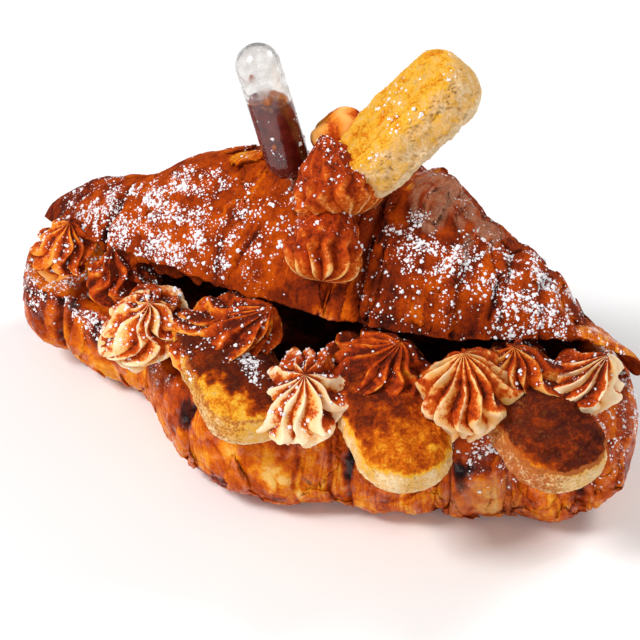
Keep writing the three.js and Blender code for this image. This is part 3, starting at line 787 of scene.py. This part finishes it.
def buildBiscuit(name, spec, material):
    length, width, thickness = spec["size"]
    seed = spec["seed"]
    t = np.linspace(0, 1, biscuitLook["along"] + 1)[:, None]
    along = -length * (1 + np.cos(np.pi * t)) / 2
    fromEnd = np.minimum(1, np.minimum(along + length, -along) / (width * spec.get("blunt", 0.5)))
    full = (1 - (1 - fromEnd) ** 2.3) ** 0.45
    turn = np.linspace(0, 2 * np.pi, biscuitLook["around"], endpoint=False)[None, :]
    rising = np.sin(turn) > 0
    flatTop, flatFoot = spec["square"]
    side = width / 2 * np.maximum(0.01, full) * squarer(np.cos(turn), (flatTop + flatFoot) / 2)
    up = squarer(np.sin(turn), np.where(rising, flatTop, flatFoot)) * np.where(rising, 0.58, 0.42)
    local = np.stack([along + 0 * side, side, thickness * up * np.maximum(0.04, full**0.6)], -1)
    facing = gridNormals(local)
    upward = facing[..., 2] + 0.16 * field(local, 4, seed) + 0.12 * field(local, 1.5, seed)
    topness = smooth(upward, 0.2, 0.8)
    below = smooth(-facing[..., 2] + 0.15 * field(local, 4, seed + 1), 0.0, 0.5)
    fine, coarse = cells(local, 0.95, seed), cells(local, 2.1, seed + 7)
    holes = (1 - smooth(fine[..., 0], 0.1, 0.42)) * smooth(field(local, 3.5, seed), -0.3, 0.2)
    large = (1 - smooth(coarse[..., 0], 0.08, 0.26)) * smooth(field(local, 5, seed + 3), -0.1, 0.2)
    holes = np.maximum(holes, large)
    deep = holes * (1 - 0.5 * topness)
    split = field(local, (34, 5.5, 12), seed + 2) + 0.25 * field(local, (5, 2.5, 5), seed)
    groove = (1 - smooth(np.abs(split), 0.0, 0.07)) * topness * spec["grooves"]
    rough = 0.6 * field(local, 6, seed) + 0.42 * field(local, 2.2, seed) + 0.3 * field(local, 0.9, seed)
    crusty = spec.get("rugged", 0) * topness
    rough = rough + crusty * (0.55 * field(local, 3.4, seed + 11) + 0.5 * field(local, 1.3, seed + 12))
    height = rough - 0.7 * deep - 1.1 * groove + 0.25 * topness - 0.35
    ends = smooth(fromEnd, 0, 0.4)
    local = local + facing * (height * (0.3 + 0.7 * ends))[..., None]
    x = Vector(spec["points"]).normalized()
    y = Vector(spec["faces"]).cross(x).normalized()
    grid = local @ np.array([x, y, x.cross(y)]) + np.array(spec["end"]) + centring
    foot, edge, top = spec["toast"]
    rightward, start, darker = spec["burn"]
    depth = -along / length + rightward * side / (width / 2)
    depth = depth + 0.16 * field(local, 5, seed + 8) + 0.1 * field(local, 1.6, seed)
    burnt = smooth(depth, start, start + 0.22)
    toast = edge + (foot - edge) * below + topness * (top - edge + darker * burnt)
    # The groove term paints shade into the split along the top; the next line paints a rugged top's raised
    # bumps paler and its hollows darker, painted light and shade that follow the relief
    toast = toast + 0.07 * field(local, 7, seed + 4) + 0.07 * field(local, 2.5, seed + 5) + 0.08 * groove
    toast = toast - 0.12 * crusty * (field(local, 3.4, seed + 11) + 0.7 * field(local, 1.3, seed + 12))
    amount, inner = spec["sugar"]
    drift = smooth(field(local, 6, seed + 6), -0.1, 0.3) * smooth(-along / length, inner - 0.1, inner + 0.1)
    leftward = smooth(0.1 * field(local, 4, seed) - side / width - 0.2 * along / length, -0.1, 0.35)
    rimmed = 5 * topness * (1 - topness)
    sugar = amount * drift
    if "pile" in spec:
        near, beside, long, wide = spec["pile"]
        away = np.hypot((along - near) / long, (side - beside) / wide)
        sugar = np.maximum(sugar, smooth(1.3 - away + 1.3 * field(local, 3, seed + 9), 0.1, 1.2))
    marks = {
        "toast": np.clip(toast, 0, 1),
        # how deep the pits are, where they are painted darker as painted shade
        "pitShade": np.clip(deep * (0.6 - 0.3 * below), 0, 1),
        "cocoa": spec.get("cocoa", 0) * np.maximum(leftward * (1 - 0.6 * topness), rimmed),
        "sugar": sugar * smooth(facing[..., 2], 0.0, 0.5),
    }
    title = "lady" + name.title().replace("_", "")
    return makePiece(title, [skin(grid, **marks)], material, name)


biscuitPaint = biscuitMaterial()
for name, spec in biscuits.items():
    buildBiscuit(name, spec, biscuitPaint)
print("biscuits done")


# Star-piped cream: [station, out, up] of the foot, size, lean of the tip, and how it was piped and dusted.
# wave is how far the ridges snake from side to side, deep makes their grooves deeper, and pale is the
# direction of the side that is free of cocoa.
kisses = {
    "cream_kiss_1": {"at": (-83, 20, 42.5), "radius": 10, "height": 15, "foot": 0.7, "widest": 0.36,
                     "lean": (3, 0), "tilt": 0.35, "ridges": 9, "twist": 0.6, "wave": 0.3, "dust": 0.5,
                     "pale": (-0.9, -0.5, 0.0), "warm": 0.95, "sugar": 0.25},
    "cream_kiss_2": {"at": (-43, 29.5, 36), "radius": 12.5, "height": 18, "foot": 0.6, "widest": 0.42,
                     "lean": (3, -2), "tilt": 0.4, "ridges": 10, "twist": 0.4, "wave": 0.5, "dust": 0.4,
                     "pale": (0.1, -0.95, -0.1), "warm": 0.3, "sugar": 0.22},
    "cream_kiss_3": {"at": (7, 38, 35.5), "radius": 13, "height": 19, "foot": 0.58, "widest": 0.44,
                     "lean": (3, -2), "tilt": 0.45, "ridges": 11, "twist": 0.1, "wave": 0.2, "dust": 0.34,
                     "pale": (0.1, -0.95, -0.1), "warm": 0.1, "sugar": 0.25},
    "cream_kiss_4": {"at": (48, 26, 36.5), "radius": 12.9, "height": 26, "foot": 0.44, "widest": 0.5,
                     "lean": (-2, -2), "tilt": 0.15, "ridges": 13, "twist": 0.2, "wave": 0.14, "dust": 0.32,
                     "pale": (0.4, -0.5, -0.8), "warm": 0.35, "sugar": 0.0},
    "cream_kiss_5": {"at": (74, 14, 38.5), "radius": 10.5, "height": 21, "foot": 0.6, "widest": 0.42,
                     "lean": (8, -1), "tilt": 0.15, "ridges": 11, "twist": 0.4, "wave": 0.2, "dust": 0.26,
                     "pale": (0.95, -0.3, -0.3), "warm": 0.15, "sugar": 0.1},
    "cream_back_1": {"at": (-61.5, 15, 39), "radius": 10, "height": 17, "foot": 0.8, "widest": 0.3,
                     "lean": (-3, -2), "tilt": 0.2, "ridges": 9, "twist": 0.8, "wave": 0.3, "deep": 1.2,
                     "dust": 0.8, "pale": (-0.9, -0.4, 0), "warm": 1.0, "sugar": 0.15},
    "cream_back_2": {"at": (-21, 27, 43), "radius": 13, "height": 15, "foot": 0.85, "widest": 0.3,
                     "lean": (15, 4), "tilt": 0.3, "stretch": 1.15, "ridges": 11, "twist": 0.7,
                     "wave": 0.25, "deep": 1.3, "dust": 0.62, "pale": (-0.8, -0.7, -0.3), "warm": 0.9,
                     "sugar": 0.14},
    "cream_back_3": {"at": (20, 24, 42), "radius": 13, "height": 15, "foot": 0.85, "widest": 0.3,
                     "lean": (9, 3), "tilt": 0.3, "stretch": 1.2, "ridges": 11, "twist": 0.6, "wave": 0.3,
                     "deep": 1.3, "dust": 0.68, "pale": (-0.8, -0.7, -0.4), "warm": 0.9, "sugar": 0.04},
    "cream_back_4": {"at": (59, 14, 39), "radius": 13, "height": 21, "foot": 0.8, "widest": 0.35,
                     "lean": (-1, -4), "tilt": 0.2, "ridges": 10, "twist": 0.7, "wave": 0.3, "dust": 0.5,
                     "pale": (0.4, -0.7, -0.5), "warm": 0.6, "sugar": 0.12},
}
creamLook = {
    "plain": [(0.0, (254, 226, 186)), (0.45, (246, 186, 104)), (1.0, (236, 138, 30))],
    "dusting": [(0.3, (228, 116, 22)), (0.55, (200, 76, 8)), (0.78, (160, 50, 5)), (1.0, (88, 26, 6))],
    "levels": 90, "perRidge": 16,
    "sockets": {"Specular IOR Level": 0.12, "Subsurface Weight": 0.15,
                "Subsurface Radius": (1.0, 0.55, 0.3), "Subsurface Scale": 0.0015},
}


def creamMaterial():
    material, tree, shader = newMaterial("pipedCream")
    mottle = grain(tree, 5.0)
    warm = sums(tree, "ADD", mark(tree, "warm"), between(tree, mottle, 0.3, 0.7, -0.15, 0.15))
    plain = ramp(tree, warm, [(place, shade(*rgb)) for place, rgb in creamLook["plain"]])
    speckle = between(tree, grain(tree, 0.9, 4.0, 0.7), 0.3, 0.7, -0.13, 0.13)
    cover = sums(tree, "ADD", mark(tree, "cocoa"), speckle)
    dust = sums(tree, "ADD", cover, between(tree, grain(tree, 2.5, 3.0), 0.3, 0.7, -0.12, 0.12))
    cocoa = ramp(tree, dust, [(place, shade(*rgb)) for place, rgb in creamLook["dusting"]])
    colour = blendColour(tree, between(tree, cover, 0.25, 0.5), plain, cocoa)
    tree.links.new(colour, shader.inputs["Base Color"])
    tree.links.new(between(tree, cover, 0.2, 0.7, 0.4, 0.8), shader.inputs["Roughness"])
    setSockets(shader, creamLook["sockets"])
    powder = between(tree, cover, 0.3, 0.7, 0.1, 1.0)
    relief = sums(tree, "MULTIPLY", grain(tree, 0.5, 3.0), powder)
    tree.links.new(bump(tree, relief, 0.25), shader.inputs["Normal"])
    return material


def ridged(angle, ridges, seed, t):
    # 1 on the crest of a piped ridge and 0 in the groove between two: round at the foot, sharp at the tip.
    # The second result gives each ridge values of its own, so that no two are quite alike.
    uneven = 0.13 * np.sin(2 * angle + seed) + 0.09 * np.sin(3 * angle + 2.3 * seed)
    phase = ridges * angle / (2 * np.pi) + uneven
    off = 2 * np.abs(phase - np.round(phase))
    full, sharp = np.sqrt(1 - off**2.4), (1 - off) ** 1.4
    crest = full + (sharp - full) * smooth(t, 0.2, 0.75)
    own = np.random.default_rng(int(seed)).uniform(-1, 1, (3, ridges))
    return crest, own[:, np.round(phase).astype(int) % ridges]


def creamMarks(grid, crest, spec, seed):
    facing = gridNormals(grid)
    side = facing @ np.array(spec["pale"])
    cloud = field(grid, 6, seed) + 0.6 * field(grid, 2.2, seed)
    groove = np.clip(1 - crest, 0, 1)
    # Grooves take more cocoa, which settles there, and are also painted darker as painted shade; plain
    # cream is painted a darker orange in the grooves, which is painted shade
    cover = spec["dust"] + 0.3 * facing[..., 2] - 0.45 * side + 0.7 * (groove - 0.3) + 0.25 * cloud
    warm = spec["warm"] + 0.6 * groove + 0.3 * np.clip(cover, 0, 1) - 0.2
    sugar = spec["sugar"] * smooth(facing[..., 2], 0.2, 0.8) * clustered(grid, seed)
    return {"cocoa": np.clip(cover, 0, 1), "warm": np.clip(warm, 0, 1), "sugar": sugar}


def buildKiss(name, spec, material, seed):
    radius, height, lean, stretch = spec["radius"], spec["height"], spec["lean"], spec.get("stretch", 1)
    t = (np.linspace(0, 1, creamLook["levels"]) ** 0.9)[:, None]
    angle = np.linspace(0, 2 * np.pi, spec["ridges"] * creamLook["perRidge"], endpoint=False)[None, :]
    crest, own = ridged(angle, spec["ridges"], seed, t)
    crest = crest + 0 * t
    phase = 2 * np.pi * (1.9 * t + 0.2 * np.sin(2 * angle + seed)) + seed
    snake = spec["wave"] * np.sin(phase) * (1 - t) ** 0.5
    snake = snake + 0.16 * own[0] * crest * (1 - t)
    widest = spec["widest"] + 0.05 * np.sin(3 * angle + seed) + 0.03 * np.sin(7 * angle + 2 * seed)
    belly, taper = np.minimum(1, t / widest), np.clip((t - widest) / (1 - widest), 0, 1)
    bulge = spec["foot"] + (1 - spec["foot"]) * np.sin(np.pi / 2 * belly) ** 1.2
    bulge = bulge * np.cos(np.pi / 2 * taper) ** 0.95
    bulge = bulge * (1 - 0.16 * np.sin(np.pi * taper)) + 0.006
    depth = spec.get("deep", 1) * (0.22 + 0.16 * smooth(t, 0.3 * widest, widest))
    lip = 0.06 * np.exp(-((t - widest + 0.02) / 0.07) ** 2) * crest + 0.12 * own[1] * crest * (1 - t)
    pinch = 1 + 0.05 * np.sin(11 * t + 2 * np.sin(3 * angle + seed) + seed) * (1 - t)
    r = radius * 1.06 * bulge * (1 + lip - depth * (1 - crest)) * pinch
    swirl = angle + spec["twist"] * t + snake
    bent = t**1.5
    x = stretch * r * np.cos(swirl) + lean[0] * bent
    y = r * np.sin(swirl) + lean[1] * bent
    hang = (1 - crest) * (1 - smooth(t, 0.0, 0.25)) - 0.09 * height * own[2] * crest * (1 - t) ** 2
    z = height * t**0.9 + hang + 0.6 * np.sin(4 * angle + seed) * (1 - t) * t * 4
    foot = pastryPoint(*(np.array([float(v)]) for v in spec["at"]))[0]
    grid = np.stack([x, y, z + spec["tilt"] * y], -1) + foot
    soft = (0.6 * field(grid, 5, seed) + 0.3 * field(grid, 1.8, seed)) * (1 - t**3)
    grid = grid + gridNormals(grid) * soft[..., None]
    marks = creamMarks(grid, crest, spec, seed)
    title = name.replace("cream_", "piped").replace("_", "")
    return makePiece(title, [skin(grid, **marks)], material, name)


# Shells of the cream on the lid, each from its full end to its tail. sag tucks the full end under.
topShells = [
    {"from": (5, -17, 70.5), "to": (2, 0, 92), "radius": 10.6, "full": 0.45, "ridges": 11, "depth": 0.44,
     "fade": 0.85, "bend": 0.14, "sag": (0, 1.2, -2.6), "dust": 0.52, "pale": (0.02, -0.1, -0.2),
     "warm": 0.5, "sugar": 0.12},
    {"from": (8, -8, 85), "to": (-3, 1, 104), "radius": 12.3, "full": 0.54, "ridges": 13, "depth": 0.26,
     "fade": 0.6, "bend": 0.12, "sag": (-2, 6, -4), "dust": 0.52, "pale": (0.2, -0.05, -0.2), "warm": 0.5,
     "sugar": 0.14},
    {"from": (1, 8, 96), "to": (-7, 27, 97), "radius": 9.5, "full": 0.45, "ridges": 5, "depth": 0.12,
     "fade": 0.3, "bend": 0.2, "sag": (0, 0, 0), "dust": 0.27, "pale": (-0.3, -0.3, 0.9), "warm": 0.75,
     "sugar": 0.0},
]


def buildCreamTop(material):
    skins = []
    for seed, shell in enumerate(topShells):
        start, end = Vector(shell["from"]), Vector(shell["to"])
        along = end - start
        turn = Vector((0, 0, 1)).rotation_difference(along.normalized())
        t = (np.linspace(0, 1, creamLook["levels"]) ** 1.4)[:, None]
        reach = shell["radius"] * np.maximum(0.03, np.sin(np.pi * t ** shell["full"]) ** 0.75)
        angle = np.linspace(0, 2 * np.pi, shell["ridges"] * creamLook["perRidge"], endpoint=False)[None, :]
        crest, own = ridged(angle, shell["ridges"], seed + 2.0, 0.55 + 0 * t)
        crest = crest + 0 * t
        depth = shell["depth"] * (1 - shell["fade"] * smooth(t, 0.15, 0.5))
        ruffle = 0.05 * np.sin(26 * t + 3 * np.sin(2 * angle)) * smooth(t, 0.15, 0.3)
        ruffle = ruffle + 0.06 * own[1] * crest * (1 - smooth(t, 0.1, 0.5))
        r = reach * (1.05 - depth * (1 - crest) + ruffle + 0.03 * np.sin(9 * t + 2 * angle))
        swirl = angle + 0.4 * t + shell["bend"] * np.sin(15 * t + 0.5 * np.sin(3 * angle)) * (1 - t)
        swirl = swirl + 0.1 * own[0] * crest * (1 - smooth(t, 0.0, 0.4))
        local = np.stack([r * np.cos(swirl), r * np.sin(swirl), along.length * t + 0 * r], -1)
        sag = np.array(shell["sag"]) * ((1 - smooth(t, 0.0, 0.35)) ** 2)[..., None]
        grid = local @ np.array(turn.to_matrix()).T + np.array(start) + centring + sag
        soft = 0.7 * field(grid, 6, seed + 3) + 0.15 * field(grid, 2, seed)
        grid = grid + gridNormals(grid) * soft[..., None]
        marks = creamMarks(grid, crest, shell, seed + 30)
        dusted = shell["dust"] > 0.5
        lips = smooth(crest, 0.8, 0.97) * (1 - smooth(t, 0.05, 0.2)) * dusted
        marks["cocoa"] = np.clip(marks["cocoa"], 0.48 * dusted, 0.8) - 0.34 * lips
        skins.append(skin(grid, **marks))
    return makePiece("pipedTop", skins, material, "cream_top")


creamPaint = creamMaterial()
for seed, (name, spec) in enumerate(kisses.items()):
    buildKiss(name, spec, creamPaint, seed + 1.0)
buildCreamTop(creamPaint)
print("cream done")


# The squeeze pipette and its sauce, in mm
pipette = {
    "neck": (-14.8, 6, 86), "axis": (-9.4, -4.4, 40.3), "bulbRadius": 6.3, "bulbLength": 42,
    "stemRadius": 2,
    "stemLength": 11, "wall": 0.7, "sauceLevel": 110, "facets": 72,
    "sauce": ((100, 22, 18), (144, 44, 36)), "foam": (206, 112, 40),
    # drops inside the wall: their height, where round the bulb, and their radius
    "beads": [(98, 0.15, 0.9), (112.5, 0.55, 1.5), (114.5, -1.9, 0.9)],
}


def pipetteProfile(inset, sides=16):
    # out and up along the axis, from the stem's end to the top of the bulb
    r, stem = pipette["bulbRadius"] - inset, pipette["stemRadius"] - inset
    turn = np.pi / 2 * np.arange(1, sides + 1) / sides
    shoulder = np.stack([stem + (r - stem) * np.sin(turn),
                         pipette["bulbRadius"] * (1 - np.cos(turn)) + inset], -1)
    top = pipette["bulbLength"] - pipette["bulbRadius"]
    walls = [[r, pipette["bulbRadius"] + k * (top - pipette["bulbRadius"]) / 30] for k in range(1, 31)]
    dome = np.stack([r * np.cos(turn), top + r * np.sin(turn)], -1)
    dome[-1, 0] = 0.02
    return np.concatenate([[[stem, -pipette["stemLength"]], [stem, inset]], shoulder, walls, dome])


def turned(profile):
    axis = Vector(pipette["axis"]).normalized()
    turn = np.array(Vector((0, 0, 1)).rotation_difference(axis).to_matrix())
    angle = np.linspace(0, 2 * np.pi, pipette["facets"], endpoint=False)
    out, up = profile[:, :1], profile[:, 1:]
    local = np.stack([out * np.cos(angle), out * np.sin(angle), up + 0 * angle], -1)
    return local @ turn.T + np.array(pipette["neck"]) + centring


def buildPipette():
    material, tree, shader = newMaterial("clearPlastic")
    shader.inputs["Base Color"].default_value = shade(250, 248, 246)
    shader.inputs["IOR"].default_value = 1.46
    misty = between(tree, sums(tree, "MULTIPLY", mark(tree, "empty"), grain(tree, 3.0, 4.0)), 0.3, 0.7)
    tree.links.new(between(tree, misty, 0.0, 1.0, 1.0, 0.85), shader.inputs["Transmission Weight"])
    tree.links.new(between(tree, misty, 0.0, 1.0, 0.06, 0.3), shader.inputs["Roughness"])
    tree.links.new(bump(tree, grain(tree, 4.0), 0.3, 0.5), shader.inputs["Normal"])
    outside, inside = turned(pipetteProfile(0)), turned(pipetteProfile(pipette["wall"]))
    rings = np.concatenate([inside[::-1], outside])
    outer = (np.arange(len(rings)) > len(inside))[:, None]
    specks = 0.26 * smooth(field(rings, 4, 3), 0.1, 0.4) * smooth(rings[..., 2], 93, 98) * outer
    specks = specks * (1 - smooth(rings[..., 2], 108, 114))
    empty = smooth(rings[..., 2], pipette["sauceLevel"] - 1, pipette["sauceLevel"] + 4)
    wall = skin(rings, sugar=specks, empty=empty)
    return makePiece("pipetteWall", [wall], material, "pipette")


def buildSauce():
    material, tree, shader = newMaterial("coffeeSauce")
    dark, light = (shade(*rgb) for rgb in pipette["sauce"])
    colour = blendColour(tree, between(tree, grain(tree, 5.0), 0.35, 0.65), dark, light)
    froth = sums(tree, "ADD", mark(tree, "foam"), between(tree, grain(tree, 1.5), 0.3, 0.7, -0.3, 0.3))
    foam = between(tree, froth, 0.3, 0.6)
    colour = blendColour(tree, foam, colour, shade(*pipette["foam"]))
    tree.links.new(colour, shader.inputs["Base Color"])
    shader.inputs["Roughness"].default_value = 0.25
    rings = turned(pipetteProfile(pipette["wall"] - 0.12)[1:])
    top = pipette["sauceLevel"]
    down = np.array(pipette["axis"]) / np.linalg.norm(pipette["axis"])
    over = np.maximum(0, rings[..., 2] - top)
    rings = rings - down * (over / down[2])[..., None]
    middle = rings.mean(1, keepdims=True)
    behind = smooth((rings - middle)[..., 1] / pipette["bulbRadius"], 0.1, 0.6)
    edge = smooth(rings[..., 2], top - 1.4, top - 0.2) * (0.25 + 0.75 * behind)
    skins = [skin(rings, foam=edge)]
    for height, turn, size in pipette["beads"]:
        t = np.linspace(0.02, np.pi - 0.02, 14)[:, None]
        angle = np.linspace(0, 2 * np.pi, 24, endpoint=False)[None, :]
        across, upright = np.sin(t), 1.3 * np.cos(t) + 0 * angle
        ball = size * np.stack([across * np.cos(angle), across * np.sin(angle), upright], -1)
        axisPlace = np.array(pipette["neck"]) + down * (height - pipette["neck"][2]) / down[2]
        reach = pipette["bulbRadius"] - pipette["wall"] - 0.5 * size
        side = np.array([math.sin(turn), -math.cos(turn), 0.0]) * reach
        skins.append(skin(ball + axisPlace + side + centring, foam=1.0))
    return makePiece("coffeeSauce", skins, material, "pipette_sauce")


buildPipette()
buildSauce()
print("pipette done")


# Powdered sugar: lumps and single grains scattered over all that it fell on. Sizes are in mm.
sugarKinds = {
    "sugarLumps": {"count": 2100, "size": (0.32, 0.72), "flat": 0.7, "sides": 2, "seed": 3},
    "sugarGrains": {"count": 7500, "size": (0.18, 0.42), "flat": 0.8, "sides": 1, "seed": 8},
    "sugarDust": {"count": 7500, "size": (0.09, 0.18), "flat": 0.9, "sides": 1, "seed": 14},
}


sugarLook = {
    "white": ((236, 234, 240), (255, 254, 255)),
    "sockets": {"Roughness": 0.9, "Subsurface Weight": 0.2, "Subsurface Radius": (1.0, 1.0, 1.0),
                "Subsurface Scale": 0.0004},
}


def sugarMaterial():
    material, tree, shader = newMaterial("powderedSugar")
    dull, bright = (shade(*rgb) for rgb in sugarLook["white"])
    tree.links.new(blendColour(tree, grain(tree, 0.6), dull, bright), shader.inputs["Base Color"])
    setSockets(shader, sugarLook["sockets"])
    return material


def sugarHost():
    # all the surfaces that take sugar as one mesh, and its area weighted by how much lies on it
    points, faces, amounts = [], [], []
    for shellPoints, shellFaces, amount in sugared:
        start = sum(len(p) for p in points)
        points.append(shellPoints)
        faces += [[start + i for i in face] for face in shellFaces]
        amounts.append(amount)
    mesh = bpy.data.meshes.new("sugarHost")
    mesh.from_pydata(np.concatenate(points).tolist(), [], faces)
    amount = np.concatenate(amounts).astype(np.float32)
    mesh.attributes.new("sugar", "FLOAT", "POINT").data.foreach_set("value", amount)
    host = addObject("sugarHost", mesh)
    weighted = sum(face.area * float(np.mean(amount[list(face.vertices)])) for face in mesh.polygons)
    return host, weighted


def scatterTree():
    # scatters uneven grains by the sugar attribute
    tree = bpy.data.node_groups.new("scatterSugar", "GeometryNodeTree")
    sockets = {}
    labels = {"Geometry": "Geometry", "Density": "Float", "Smallest": "Float", "Largest": "Float",
              "Flatness": "Float", "Sides": "Int", "Seed": "Int", "Material": "Material"}
    for label, kind in labels.items():
        made = tree.interface.new_socket(label, in_out="INPUT", socket_type="NodeSocket" + kind)
        sockets[label] = made.identifier
    tree.interface.new_socket("Geometry", in_out="OUTPUT", socket_type="NodeSocketGeometry")
    given = tree.nodes.new("NodeGroupInput").outputs
    seed, largest = given["Seed"], given["Largest"]
    amount = shape(tree, "InputNamedAttribute", {"Name": "sugar"}, data_type="FLOAT").outputs["Attribute"]
    density = sums(tree, "MULTIPLY", given["Density"], amount)
    inputs = {"Mesh": given["Geometry"], "Density": density, "Seed": seed}
    scatter = shape(tree, "DistributePointsOnFaces", inputs).outputs
    ball = shape(tree, "MeshIcoSphere", {"Radius": 1.0, "Subdivisions": given["Sides"]}).outputs["Mesh"]
    dent = put(tree, "TexNoise", {"Scale": 1.1, "Detail": 1.0}).outputs["Color"]
    spread = put(tree, "VectorMath", {0: dent, 1: (0.5, 0.5, 0.5)}, operation="SUBTRACT").outputs[0]
    push = put(tree, "VectorMath", {0: spread, "Scale": 1.7}, operation="SCALE").outputs[0]
    lump = shape(tree, "SetPosition", {"Geometry": ball, "Offset": push}).outputs[0]
    inputs = {2: given["Smallest"], 3: largest, "Seed": seed}
    size = newNode(tree, "FunctionNodeRandomValue", inputs, {"data_type": "FLOAT"}).outputs[1]
    # most grains are small: a size is multiplied by its share of the largest
    skewed = sums(tree, "MULTIPLY", sums(tree, "DIVIDE", size, largest), size)
    low = sums(tree, "MULTIPLY", skewed, given["Flatness"])
    scale = put(tree, "CombineXYZ", {0: skewed, 1: size, 2: low}).outputs[0]
    inputs = {0: (0, 0, 0), 1: (0.6, 0.6, 6.28), "Seed": seed}
    spin = newNode(tree, "FunctionNodeRandomValue", inputs, {"data_type": "FLOAT_VECTOR"}).outputs[0]
    inputs = {0: scatter["Rotation"], 1: spin}
    tilt = newNode(tree, "FunctionNodeRotateRotation", inputs, {"rotation_space": "LOCAL"}).outputs[0]
    inputs = {"Points": scatter["Points"], "Instance": lump, "Rotation": tilt, "Scale": scale}
    placed = shape(tree, "InstanceOnPoints", inputs).outputs[0]
    real = shape(tree, "RealizeInstances", {"Geometry": placed}).outputs[0]
    painted = shape(tree, "SetMaterial", {"Geometry": real, "Material": given["Material"]})
    result = tree.nodes.new("NodeGroupOutput")
    tree.links.new(painted.outputs[0], result.inputs[0])
    return tree, sockets


def buildSugar():
    material = sugarMaterial()
    host, weighted = sugarHost()
    tree, sockets = scatterTree()
    for name, kind in sugarKinds.items():
        modifier = host.modifiers.new("scatter", "NODES")
        modifier.node_group = tree
        smallest, largest = (size * mm for size in kind["size"])
        values = {"Density": kind["count"] / weighted, "Smallest": smallest, "Largest": largest,
                  "Flatness": kind["flat"], "Sides": kind["sides"], "Seed": kind["seed"],
                  "Material": material}
        for label, value in values.items():
            modifier[sockets[label]] = value
        bpy.context.view_layer.update()
        evaluated = host.evaluated_get(bpy.context.evaluated_depsgraph_get())
        mesh = bpy.data.meshes.new_from_object(evaluated)
        host.modifiers.remove(modifier)
        low, high = np.array(cadBox[0]), np.array(cadBox[1])
        places = np.empty(len(mesh.vertices) * 3)
        mesh.vertices.foreach_get("co", places)
        mesh.vertices.foreach_set("co", np.clip(places.reshape(-1, 3), low, high).ravel())
        grains = addObject(name, mesh)
        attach(grains, "root")
        print(name, len(mesh.polygons), "faces")
    bpy.data.objects.remove(host)


buildSugar()
print("sugar done")


# Plain floor, soft studio light, and the camera at the photograph's angle
studio = {
    "target": (9.7, 0.7, 50.0), "azimuth": 25.0, "elevation": 35.0, "distance": 520.0, "lens": 100.0,
    "shift": (-10 / 640, -20 / 640), "sensor": 36, "world": 0.3, "floor": 4.0,
    # each lamp's place in metres, its size and its power
    "lamps": {"key": ((-0.55, -0.6, 0.95), 0.35, 12), "fill": ((0.6, -0.8, 0.5), 0.6, 2.5),
              "rim": ((0.5, 0.8, 0.8), 0.4, 6)},
}


def buildStudio():
    mesh = bpy.data.meshes.new("floor")
    reach = studio["floor"]
    corners = [(x * reach, y * reach, 0) for x, y in ((-1, -1), (1, -1), (1, 1), (-1, 1))]
    mesh.from_pydata(corners, [], [(0, 1, 2, 3)])
    floor = addObject("floor", mesh)
    material, tree, shader = newMaterial("paleFloor")
    paper = blendColour(tree, grain(tree, 60.0), shade(250, 250, 250), shade(253, 253, 253))
    tree.links.new(paper, shader.inputs["Base Color"])
    shader.inputs["Roughness"].default_value = 0.9
    mesh.materials.append(material)
    world = bpy.context.scene.world or bpy.data.worlds.new("studio")
    bpy.context.scene.world = world
    world.use_nodes = True
    background = world.node_tree.nodes["Background"]
    background.inputs["Color"].default_value = (1.0, 1.0, 1.0, 1.0)
    background.inputs["Strength"].default_value = studio["world"]
    target = Vector(studio["target"]) * mm
    for name, (place, size, power) in studio["lamps"].items():
        light = bpy.data.lights.new(name, "AREA")
        light.size = size
        light.energy = power
        lamp = addObject(name, light)
        lamp.location = place
        lamp.rotation_euler = (target - Vector(place)).to_track_quat("-Z", "Y").to_euler()
    camera = addObject("camera", bpy.data.cameras.new("camera"))
    turn, rise = math.radians(studio["azimuth"]), math.radians(studio["elevation"])
    back = Vector((math.sin(turn) * math.cos(rise), -math.cos(turn) * math.cos(rise), math.sin(rise)))
    camera.location = target + back * studio["distance"] * mm
    camera.rotation_euler = (-back).to_track_quat("-Z", "Y").to_euler()
    camera.data.lens = studio["lens"]
    camera.data.sensor_width = studio["sensor"]
    camera.data.shift_x, camera.data.shift_y = studio["shift"]
    camera.data.clip_start = 0.01
    bpy.context.scene.camera = camera
    bpy.context.scene.view_settings.view_transform = "Standard"


buildStudio()
